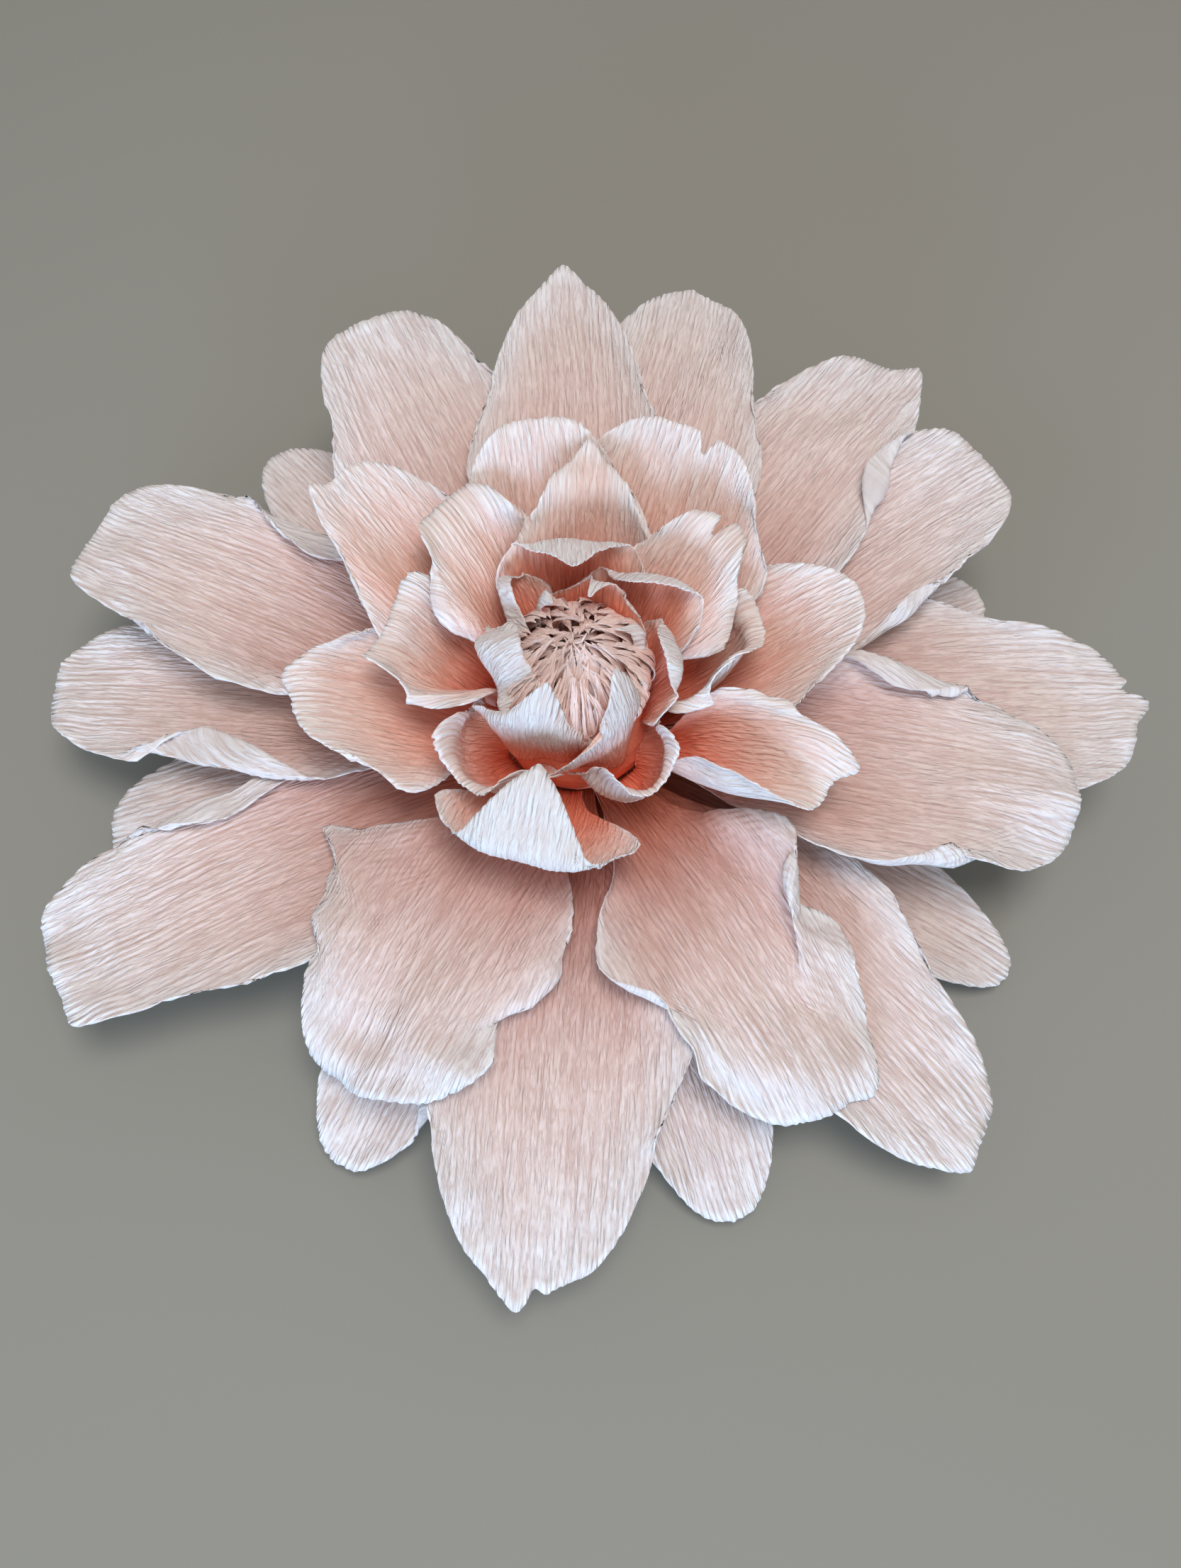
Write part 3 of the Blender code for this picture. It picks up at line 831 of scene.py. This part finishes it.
@dataclass(frozen=True)
class CardFinish:
    """Uncoated card or a wrapped ball: a plain fibrous surface."""

    pale: Colour
    dark: Colour
    roughness: float = 0.9

    def material(self, name: str) -> Any:
        """Builds the finish under a name."""
        board = Board(name)
        place = board.node("ShaderNodeTexCoord", {}, {}, "Object")
        fleck = board.noise(place, (900.0, 900.0, 900.0), 4.0)
        cloud = board.noise(place, (60.0, 60.0, 60.0), 3.0)
        colour = board.colour((fleck * 0.6 + cloud * 0.4).step(0.3, 0.7), self.dark, self.pale)
        normal = board.bump(fleck, 0.3, 0.2 * MM)
        rough = self.roughness + (cloud - 0.5) * 0.1
        return board.finish(Base_Color=colour, Roughness=rough, Normal=normal, Specular_IOR_Level=PAPER_SHEEN)


# Meshes


def add_object(name: str, data: Any) -> Any:
    """Adds an object that shows this mesh, lamp or camera."""
    item = bpy.data.objects.new(name, data)
    bpy.context.scene.collection.objects.link(item)
    return item


@dataclass
class PaperMesh:
    """Gathers sheets of paper into one closed mesh, with what their material reads."""

    thickness: float
    parts: dict[str, list[Array]] = field(default_factory=lambda: defaultdict(list))
    count: int = 0

    def add(self, form: SheetForm, grid: Array, ridge: Array) -> None:
        """Adds a sheet with its two faces and its cut edge.

        Args:
            form: The sheet's form, for each point's place on the flat sheet.
            grid: The sheet's middle surface.
            ridge: The height of the ridges, for the painted shade in their valleys.
        """
        rows, columns = grid.shape[:2]
        flat, shares, parts = form.flat, form.shares, self.parts
        normal = normals_of(grid)
        number = np.arange(rows * columns).reshape(rows, columns) + self.count
        back = number + rows * columns
        corners = [
            (number[:-1, :-1], number[1:, :-1], number[1:, 1:], number[:-1, 1:]),
            (back[:-1, :-1], back[:-1, 1:], back[1:, 1:], back[1:, :-1]),
        ]
        rim = np.concatenate([number[0, :-1], number[:-1, -1], number[-1, :0:-1], number[:0:-1, 0]])
        behind = rim + rows * columns
        corners.append((rim, np.roll(rim, -1), np.roll(behind, -1), behind))
        for side in (0.5, -0.5):
            parts["point"].append((grid + normal * self.thickness * side).reshape(-1, 3))
            parts["sheet"].append(np.concatenate([flat, np.zeros_like(flat[..., :1])], -1).reshape(-1, 3))
            parts["share"].append(np.concatenate([shares, ridge[..., None] * 2 * side], -1).reshape(-1, 3))
            parts["outside"].append(np.full(rows * columns, 0.0 if side > 0 else 1.0))
        faces = np.concatenate([np.stack(four, -1).reshape(-1, 4) for four in corners])
        parts["face"].append(faces)
        parts["smooth"].append(np.arange(len(faces)) < len(faces) - len(rim))
        self.count += 2 * rows * columns

    def build(self, name: str, material: Any) -> Any:
        """Makes the object.

        Args:
            name: The object's name.
            material: Its finish.

        Returns:
            The object, linked to the scene.
        """
        whole = {key: np.concatenate(arrays) for key, arrays in self.parts.items()}
        points, faces = whole["point"], whole["face"].astype(np.int32)
        mesh = bpy.data.meshes.new(name)
        mesh.vertices.add(len(points))
        mesh.vertices.foreach_set("co", points.astype(np.float32).ravel())
        mesh.loops.add(faces.size)
        mesh.loops.foreach_set("vertex_index", faces.ravel())
        mesh.polygons.add(len(faces))
        mesh.polygons.foreach_set("loop_start", np.arange(0, faces.size, 4, dtype=np.int32))
        mesh.update(calc_edges=True)
        mesh.validate()
        for key in ("sheet", "share", "outside"):
            kind, slot = ("FLOAT", "value") if key == "outside" else ("FLOAT_VECTOR", "vector")
            layer = mesh.attributes.new(key, kind, "POINT")
            layer.data.foreach_set(slot, whole[key].astype(np.float32).ravel())
        mesh.polygons.foreach_set("use_smooth", whole["smooth"])
        mesh.materials.append(material)
        return add_object(name, mesh)


def place_piece(piece: Any, node: str) -> None:
    """Puts a piece in the place of a node: hangs it on the body and hides the node."""
    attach(piece, BODY)
    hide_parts(node)
    log.info("%s stands for %s", piece.name, node)


@dataclass
class PetalFamily:
    """A family of petals that are laid one after another and share a finish."""

    node: str
    piece: str
    slot: str
    petals: tuple[Petal, ...]
    finish: CrepeFinish
    grain: Grain
    columns: int
    rows: int
    lay: Lay
    seed: int
    thickness: float = 0.35 * MM

    def build(self, pile: Pile, core: Core) -> list[Array]:
        """Bends the petals, lays them one by one and makes their pieces.

        Args:
            pile: The sheets laid so far.
            core: What the feet are glued to.

        Returns:
            Each petal's surface where it lies.
        """
        laid = []
        for number, petal in enumerate(self.petals, 1):
            form = SheetForm(
                petal, RINGS[petal.ring], core, self.grain,
                self.columns, self.rows, self.seed + 31 * number, self.thickness,
            )
            grid = pile.lay(core.cleared(form.bent()), form)
            if self.lay is Lay.SPREADING:
                grid = core.seated(grid, max(2, self.rows // 7))
            pile.add(grid)
            laid.append(grid)
            self.make(form, grid, number)
        return laid

    def make(self, form: SheetForm, grid: Array, number: int) -> None:
        """Makes one petal's piece from its surface."""
        ridge = form.ridges()
        mesh = PaperMesh(self.thickness)
        mesh.add(form, form.ridged(grid, ridge), ridge)
        name = f"{self.piece}_{number:02d}"
        piece = mesh.build(name, self.finish.material(f"{name}_crepe"))
        place_piece(piece, f"{self.node}_{number:02d}")


# The petals, each with its own cut and bend

FINGER_CUT = Cut(foot_share=0.20, widest=0.66, tip_share=0.72, roundness=0.26, squareness=2.4)
SPOON_CUT = Cut(foot_share=0.30, widest=0.66, tip_share=0.70, roundness=0.26, squareness=2.4)
FOLDED_CUT = Cut(foot_share=0.30, widest=0.58, tip_share=0.62, roundness=0.36, squareness=1.3)
CUPPED_CUT = Cut(foot_share=0.40, widest=0.60, tip_share=0.80, roundness=0.22, squareness=2.4, cup_fade=0.1)
BOWL_CUT = Cut(foot_share=0.40, widest=0.62, tip_share=0.84, roundness=0.24, squareness=2.2, cup_fade=0.5)
BUD_CUT = Cut(foot_share=0.62, widest=0.50, tip_share=0.36, roundness=0.34, squareness=1.2)
FLAP_CUT = Cut(foot_share=0.62, widest=0.60, tip_share=0.70, roundness=0.24, squareness=1.4)
STRIP_CUT = Cut(foot_share=0.75, widest=0.35, tip_share=0.30, roundness=0.16, squareness=1.1)

RINGS = {
    "back": Ring(latitude=-60, stand_off=4.0 * MM, cut=FINGER_CUT),
    "middle": Ring(latitude=-46, stand_off=6.4 * MM, cut=FINGER_CUT),
    "front": Ring(latitude=-36, stand_off=5.6 * MM, cut=FINGER_CUT),
    "wide": Ring(latitude=-22, stand_off=5.6 * MM, cut=SPOON_CUT),
    "folded": Ring(latitude=-22, stand_off=5.6 * MM, cut=FOLDED_CUT),
    "small": Ring(latitude=-10, stand_off=5.4 * MM, cut=SPOON_CUT),
    "cupped": Ring(latitude=-20, stand_off=5.4 * MM, cut=CUPPED_CUT),
    "bowl": Ring(latitude=-16, stand_off=5.4 * MM, cut=BOWL_CUT),
    "wall": Ring(latitude=16, stand_off=6.4 * MM, cut=FLAP_CUT),
    "near_wall": Ring(latitude=20, stand_off=4.4 * MM, cut=BUD_CUT),
    "lining": Ring(latitude=37, stand_off=5.2 * MM, cut=BUD_CUT),
}

OUTER_PETALS = (
    Petal("back", 21, 0.124, 0.058, 8, -12, 30),
    Petal("back", -30, 0.129, 0.050, 4, -16, 60),
    Petal("back", -73, 0.131, 0.060, 6, -20, 40),
    Petal("back", -117, 0.126, 0.060, 6, -20, 40, folds=(Fold(1, 150, 0.35, 0.6, 0.95),)),
    Petal("back", -166, 0.128, 0.066, 6, -14, 25, blunt=0.6),
    Petal("back", 136, 0.126, 0.060, 12, -8, 30),
    Petal("middle", 0, 0.146, 0.082, 14, -16, 24, blunt=0.8, point=(0.1, 0.05), nick=(0.24, 0.035),
          ruffle=1.8),
    Petal("middle", -50, 0.143, 0.066, 12, -22, 24, point=(-0.2, 0.03), blunt=0.4, ruffle=1.6),
    Petal("middle", -94, 0.139, 0.082, 12, -22, 24, blunt=0.3, point=(-0.1, 0.05), nick=(0.02, 0.03),
          folds=(Fold(-1, 150, 0.52, 0.26, 0.48, 0.80),)),
    Petal("middle", -152, 0.146, 0.070, 12, -18, 24, blunt=1.0, point=(0.8, 0.04), ruffle=1.8,
          folds=(Fold(-1, 150, 0.30, 0.20, 0.70, 1.0),)),
    Petal("middle", 176, 0.142, 0.072, 12, -16, 24, blunt=0.5, ruffle=1.6,
          folds=(Fold(1, 160, 0.34, 0.35, 0.80, 1.05),)),
    Petal("middle", 32, 0.136, 0.072, 20, -12, 34, blunt=0.9, ruffle=1.6,
          folds=(Fold(-1, 120, 0.18, 0.35, 0.75, 0.95),)),
    Petal("middle", 49, 0.139, 0.070, 20, -12, 44, blunt=0.6, point=(-0.3, 0.05), ruffle=1.8,
          folds=(Fold(-1, 130, 0.22, 0.70, 0.92, 1.3),)),
    Petal("middle", 75, 0.137, 0.076, 20, -8, 28, blunt=0.4, point=(0.1, 0.02), ruffle=1.8),
    Petal("front", -13, 0.128, 0.078, 24, -40, 10, left=Roll(70, 0.6), ruffle=1.6, blunt=0.4,
          folds=(Fold(1, 150, 0.26, 0.40, 0.72, 1.0),), dents=(Dent(-1, 0.90, 0.14, 0.05),)),
    Petal("front", -60, 0.116, 0.074, 24, -50, -14, left=Roll(60, 0.7), blunt=0.2, point=(0.5, 0.05),
          ruffle=3.0, folds=(Fold(-1, 130, 0.16, 0.0, 0.22, 0.55),),
          dents=(Dent(1, 0.70, 0.42, 0.08), Dent(-1, 0.76, 0.26, 0.12))),
    Petal("front", -117, 0.106, 0.088, 24, -50, -10, blunt=0.6, left=Roll(-30), ruffle=2.6,
          folds=(Fold(1, -100, 0.16, 0.4, 0.7, 1.0),),
          dents=(Dent(1, 0.82, 0.34, 0.14), Dent(1, 0.50, 0.16, 0.16), Dent(-1, 0.50, -0.40, 0.08))),
    Petal("front", 159, 0.140, 0.070, 20, -18, 24, point=(0.9, 0.05), blunt=1.0, ruffle=1.8,
          folds=(Fold(-1, 150, 0.34, 0.30, 0.66, 0.95),)),
    Petal("front", 118, 0.131, 0.072, 26, -16, 28, blunt=0.8, ruffle=1.4),
    Petal("front", 92, 0.127, 0.068, 26, -10, 46, point=(0.0, 0.05)),
)

SPOON_PETALS = (
    Petal("wide", 13, 0.070, 0.060, 40, -10, 40, bowl=0.003),
    Petal("bowl", -27, 0.058, 0.050, 26, 14, 140, lip=50, point=(0.4, 0.14), left=Roll(70, 0.3, 0.2, 0.6)),
    Petal("folded", -105, 0.071, 0.062, 38, 12, 40, tip=100, fold=(0.52, 0.70)),
    Petal("wide", -175, 0.063, 0.062, 36, -6, 56, point=(-0.3, 0.06), left=Roll(40, 0.4), lip=40),
    Petal("wide", 141, 0.080, 0.056, 44, -8, 35, point=(0.6, 0.10)),
    Petal("wide", 64, 0.074, 0.078, 50, -6, 35, blunt=0.6, nick=(-0.2, 0.08)),
    Petal("wide", 100, 0.072, 0.062, 52, -4, 30, blunt=0.5),
    Petal("bowl", 10, 0.044, 0.060, 28, 60, 140, lip=84, nick=(-0.5, 0.06), blunt=0.4),
    Petal("cupped", -56, 0.030, 0.054, 48, 44, 120, lip=80, blunt=0.6),
    Petal("cupped", -136, 0.034, 0.056, 44, 40, 116, lip=80, blunt=0.6),
    Petal("bowl", 166, 0.047, 0.062, 22, 60, 140, lip=84, blunt=0.5),
    Petal("small", 128, 0.052, 0.054, 48, 6, 76, lip=70, bowl=0.003, blunt=0.5),
    Petal("small", 87, 0.053, 0.056, 54, 6, 70, lip=50, bowl=0.004, point=(0.0, 0.16)),
    Petal("small", 42, 0.052, 0.054, 46, 8, 80, lip=60, bowl=0.003, nick=(0.1, 0.10)),
)

BUD_PETALS = (
    Petal("wall", 92, 0.046, 0.050, 76, 4, 40, tip=80, fold=(0.66, 0.80), point=(0.0, 0.08)),
    Petal("wall", 50, 0.046, 0.050, 73, 4, 40, tip=80, fold=(0.66, 0.80)),
    Petal("wall", 2, 0.040, 0.046, 80, 4, 40, tip=70, fold=(0.66, 0.80)),
    Petal("near_wall", -52, 0.043, 0.056, 88, 16, 24, tip=26, fold=(0.40, 0.90)),
    Petal("near_wall", -114, 0.041, 0.052, 86, 14, 34, tip=30, fold=(0.40, 0.90)),
    Petal("wall", -170, 0.048, 0.052, 74, 4, 36, tip=84, fold=(0.48, 0.62), blunt=1.2),
    Petal("wall", 146, 0.048, 0.056, 66, 6, 40, tip=80, fold=(0.66, 0.80)),
    Petal("lining", 70, 0.031, 0.036, 88, 6, 40, tip=66, fold=(0.6, 1.0), point=(0.2, 0.22), ruffle=1.2),
    Petal("lining", 20, 0.030, 0.036, 88, 6, 40, tip=66, fold=(0.6, 1.0), point=(0.3, 0.22), ruffle=1.2),
    Petal("lining", -24, 0.020, 0.034, 88, 6, 40, tip=40, fold=(0.6, 1.0), point=(0.0, 0.16)),
    Petal("lining", -75, 0.016, 0.034, 88, 4, 30, tip=10),
    Petal("lining", -134, 0.018, 0.034, 88, 6, 40, tip=40, fold=(0.6, 1.0), point=(0.0, 0.16)),
    Petal("lining", 178, 0.030, 0.038, 76, 6, 40, tip=66, fold=(0.6, 1.0), point=(-0.3, 0.22), ruffle=1.2),
    Petal("lining", 122, 0.032, 0.038, 80, 6, 40, tip=66, fold=(0.6, 1.0), point=(-0.2, 0.22), ruffle=1.2),
)


@dataclass(frozen=True)
class Crown:
    """A comb-cut strip wound round the ball: its loose teeth stand off and turn in over the dome."""

    node: str
    latitude: float
    teeth: int
    length: float
    width: float
    rise: float
    bend: float
    turn_in: float


@dataclass(frozen=True)
class Fibres:
    """Thin long shreds of crepe on the near side of the dome, which lie over the teeth."""

    middle: float = -90.0
    spread: float = 62.0
    count: int = 70
    length: float = 27.0 * MM
    width: float = 1.5 * MM
    columns: int = 4
    shoulder: Pair = (0.24, 0.50)
    cut: Cut = Cut(foot_share=0.9, widest=0.3, tip_share=0.4, roundness=0.1, squareness=1.2)
    grain: Grain = Grain(pitch=0.6 * MM, buckle=0.2 * MM, saw=0.1 * MM)


@dataclass
class FringedCentre:
    """The six wound strips of the flower's centre, tooth by tooth."""

    core: Core
    crowns: tuple[Crown, ...]
    finish: CrepeFinish
    fibres: Fibres = Fibres()
    slot: str = "fringe_crepe"
    thickness: float = 0.22 * MM
    seed: int = 900
    columns: int = 8
    rows: int = 20
    jitter: float = 0.16
    stand_off: float = 0.5 * MM
    shoulder: Pair = (0.30, 0.62)
    swing: float = 0.5
    cup: float = 40.0
    twists: Pair = (60.0, -50.0)
    grain: Grain = Grain(0.12 * MM, 1.1 * MM, 9 * MM, wander=0.3 * MM, buckle=0.25 * MM, saw=0.2 * MM)

    def tooth(self, crown: Crown, turn: float, chance: Any) -> Petal:
        """One tooth of a crown, a little unlike its neighbours.

        Args:
            crown: The strip that it is cut in.
            turn: Its azimuth in degrees.
            chance: The source of its small differences.

        Returns:
            The tooth, as a narrow petal.
        """
        grow, spread, lift, curl, twist = chance.uniform(-1.0, 1.0, 5)
        length = crown.length * (1 + self.jitter * grow)
        width = crown.width * (1 + 2 * self.jitter * spread)
        left, right = (Roll(angle * twist, start=0.2, low=0.4, high=0.9) for angle in self.twists)
        return Petal(
            "crown", turn, length, width, crown.rise + 3 * lift, crown.bend, self.cup, left=left, right=right,
            tip=crown.turn_in + 9 * curl, fold=self.shoulder, point=(0.5 * twist, 0.12),
        )

    def add_tooth(self, mesh: PaperMesh, petal: Petal, ring: Ring, sway: float, seed: int) -> None:
        """Bends one tooth, swings it round its foot by an angle and adds it to a mesh."""
        form = SheetForm(petal, ring, self.core, self.grain, self.columns, self.rows, seed, self.thickness)
        grid = form.bent()
        foot = grid[0, self.columns // 2]
        turn = sway * np.linspace(0.0, 1.0, self.rows)[:, None]
        x, y, z = np.moveaxis(grid - foot, -1, 0)
        cosine, sine = np.cos(turn), np.sin(turn)
        swung = np.stack([x * cosine - y * sine, x * sine + y * cosine, z], axis=-1)
        ridge = form.ridges()
        mesh.add(form, form.ridged(self.core.cleared(swung + foot), ridge), ridge)

    def build(self) -> None:
        """Builds the strips from the outside in, with the loose shreds on the first."""
        for number, crown in enumerate(self.crowns):
            chance = np.random.default_rng(self.seed + number)
            ring = Ring(crown.latitude, self.stand_off, STRIP_CUT)
            mesh = PaperMesh(self.thickness)
            if number == 0:
                self.add_fibres(mesh, crown, chance)
            for index in range(crown.teeth):
                turn = 360.0 * (index + 0.5 * (number % 2) + 0.3 * chance.uniform(-1, 1)) / crown.teeth
                sway = self.swing * chance.uniform(-1, 1)
                self.add_tooth(mesh, self.tooth(crown, turn, chance), ring, sway, self.seed + 97 * index)
            material = self.finish.material(f"fringe_{number + 1}_crepe")
            piece = mesh.build(f"fringe_strip_{number + 1}", material)
            place_piece(piece, crown.node)

    def add_fibres(self, mesh: PaperMesh, crown: Crown, chance: Any) -> None:
        """Adds the thin loose shreds of the near side."""
        fibres = self.fibres
        ring = Ring(crown.latitude, self.stand_off, fibres.cut)
        for index in range(fibres.count):
            turn = fibres.middle + fibres.spread * chance.uniform(-1, 1)
            length = fibres.length * chance.uniform(0.7, 1.1)
            width = fibres.width * chance.uniform(0.6, 1.4)
            rise = crown.rise + 5 * chance.uniform(-1, 1)
            tip = crown.turn_in + 8 * chance.uniform(-1, 1)
            petal = Petal(
                "crown", turn, length, width, rise, bend=crown.bend + 10, cup=10,
                tip=tip, fold=fibres.shoulder, point=(chance.uniform(-1, 1), 0.05),
            )
            form = SheetForm(
                petal, ring, self.core, fibres.grain,
                fibres.columns, self.rows, self.seed + 7 * index, self.thickness,
            )
            mesh.add(form, self.core.cleared(form.bent()), form.ridges() * 0.5)


# The strips of the centre, and the finishes

CROWNS = (
    Crown("fringe_crown_1", 44, 34, 19.5 * MM, 8.0 * MM, 52, 34, 62),
    Crown("fringe_crown_2", 48, 32, 21.0 * MM, 8.0 * MM, 50, 34, 64),
    Crown("fringe_crown_3", 56, 28, 20.2 * MM, 7.4 * MM, 58, 30, 58),
    Crown("fringe_crown_4", 64, 30, 19.5 * MM, 7.2 * MM, 65, 28, 52),
    Crown("fringe_crown_5", 73, 28, 18.5 * MM, 6.4 * MM, 70, 26, 48),
    Crown("centre_tuft", 82, 22, 17.5 * MM, 5.0 * MM, 76, 20, 50),
)

# In each finish the foot colour holds painted shade and painted glow for the petals' feet, the valley colour
# is painted shade for the ridges' furrows, and the edge colour is partly the paper's paler tips and partly
# painted cool highlight.
OUTER_CREPE = CrepeFinish(
    foot=paint(190, 104, 76), middle=paint(250, 225, 216), edge=paint(248, 242, 240),
    back=paint(244, 238, 236), valley_shade=paint(204, 178, 170), foot_shade_end=0.72,
)
SPOON_CREPE = CrepeFinish(
    foot=paint(253, 150, 118), middle=paint(254, 214, 197), edge=paint(251, 243, 238),
    back=paint(240, 238, 236), valley_shade=paint(224, 182, 168), foot_shade_end=0.74,
)
BUD_CREPE = CrepeFinish(
    foot=paint(252, 140, 110), middle=paint(253, 166, 138), edge=paint(252, 224, 208),
    back=paint(242, 240, 238), valley_shade=paint(212, 150, 132), foot_shade_end=0.6,
)
FRINGE_CREPE = CrepeFinish(
    foot=paint(255, 150, 122), middle=paint(255, 214, 200), edge=paint(255, 252, 250),
    back=paint(255, 236, 228), valley_shade=paint(255, 206, 192), foot_shade_end=0.5,
)
BALL_PAPER = CardFinish(pale=paint(250, 158, 130), dark=paint(236, 132, 104))
PLAIN_CARD = CardFinish(pale=paint(232, 220, 200), dark=paint(212, 196, 172))


@dataclass(frozen=True)
class Studio:
    """A grey floor, a cool lamp low in front, a lamp above, and a camera that looks down."""

    floor_size: float = 4.0
    floor_colour: Colour = paint(158, 155, 145)
    world_colour: Colour = paint(242, 244, 248)
    world_strength: float = 0.39
    key_colour: Colour = paint(182, 218, 255)
    top_colour: Colour = paint(255, 250, 248)
    lens: float = 27.2
    long_side: float = 36.0
    elevation: float = 65.0
    eye: Place = (0.0039, -0.17276, 0.35086)

    def build(self) -> None:
        """Sets the stage, the lamps, the camera and the picture's tone."""
        bpy.ops.mesh.primitive_plane_add(size=self.floor_size)
        floor = bpy.context.object
        floor.name = "studio_floor"
        colour = (*self.floor_colour, 1.0)
        board = Board("studio_floor_paint")
        floor.data.materials.append(board.finish(Base_Color=colour, Roughness=0.9, Specular_IOR_Level=0.1))
        self.world()
        self.lamp("key_light", (-0.25, -1.20, 0.24), size=0.5, power=12.0, colour=self.key_colour)
        self.lamp("top_light", (0.15, -0.10, 1.4), size=0.7, power=9.0, colour=self.top_colour)
        self.camera()
        bpy.context.scene.view_settings.view_transform = "Standard"

    def world(self) -> None:
        """An even soft sky."""
        world = bpy.data.worlds.new("studio_sky")
        world.use_nodes = True
        sky = world.node_tree.nodes["Background"]
        sky.inputs["Color"].default_value = (*self.world_colour, 1.0)
        sky.inputs["Strength"].default_value = self.world_strength
        bpy.context.scene.world = world

    def lamp(self, name: str, place: Place, size: float, power: float, colour: Colour) -> None:
        """A large soft lamp that faces the flower."""
        light = bpy.data.lights.new(name, "AREA")
        light.shape = "DISK"
        light.size = size
        light.energy = power
        light.color = colour
        item = add_object(name, light)
        item.location = place
        item.rotation_euler = (-Vector(place)).to_track_quat("-Z", "Y").to_euler()

    def camera(self) -> None:
        """The camera at the viewer's angle."""
        data = bpy.data.cameras.new("viewer")
        data.lens = self.lens
        data.sensor_width = self.long_side
        data.clip_start = 0.01
        item = add_object("viewer", data)
        item.location = self.eye
        item.rotation_euler = (math.radians(90.0 - self.elevation), 0.0, 0.0)
        bpy.context.scene.camera = item


@dataclass
class PaperFlower:
    """The whole flower, built from the outside in."""

    paper: float = 0.35 * MM
    lay_gap: float = 0.60 * MM
    neck_radius: float = 16.0 * MM
    bud_middle: float = 45.0 * MM

    def build(self, nodes: dict[str, Any]) -> None:
        """Builds every sheet and dresses the two pieces that stay.

        Args:
            nodes: The frame's objects by name.
        """
        core = Core.from_frame(self.neck_radius)
        self.dress(nodes["core"], BALL_PAPER, "wrapped_ball_paper")
        self.dress(nodes["backing_disc"], PLAIN_CARD, "uncoated_card")
        outer = PetalFamily(
            "outer_petal", "outer_sheet", "blush_crepe", OUTER_PETALS, OUTER_CREPE,
            Grain(), columns=132, rows=48, lay=Lay.SPREADING, seed=100,
        )
        spoon = PetalFamily(
            "spoon_petal", "spoon_sheet", "peach_crepe", SPOON_PETALS, SPOON_CREPE,
            Grain(height=0.28 * MM, pitch=1.8 * MM), columns=100, rows=36, lay=Lay.SPREADING, seed=300,
        )
        bud = PetalFamily(
            "bud_petal", "bud_sheet", "salmon_crepe", BUD_PETALS, BUD_CREPE,
            Grain(height=0.24 * MM, pitch=1.7 * MM), columns=64, rows=30, lay=Lay.UPRIGHT, seed=500,
        )
        pile = OpenPile(self.lay_gap, self.paper)
        laid = outer.build(pile, core) + spoon.build(pile, core)
        heart = BudPile(self.bud_middle, self.lay_gap, self.paper)
        for sheet in laid:
            heart.add(sheet)
        bud.build(heart, core)
        FringedCentre(core, CROWNS, FRINGE_CREPE).build()

    def dress(self, item: Any, finish: CardFinish, name: str) -> None:
        """Gives a piece that stays its finish."""
        item.data.materials.clear()
        item.data.materials.append(finish.material(name))
        log.info("%s has its finish", item.name)


def main() -> None:
    """Builds the flower round the frame and sets the studio."""
    logging.basicConfig(level=logging.INFO, format="%(message)s")
    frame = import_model()
    PaperFlower().build(frame["nodes"])
    Studio().build()


if __name__ == "__main__":
    main()
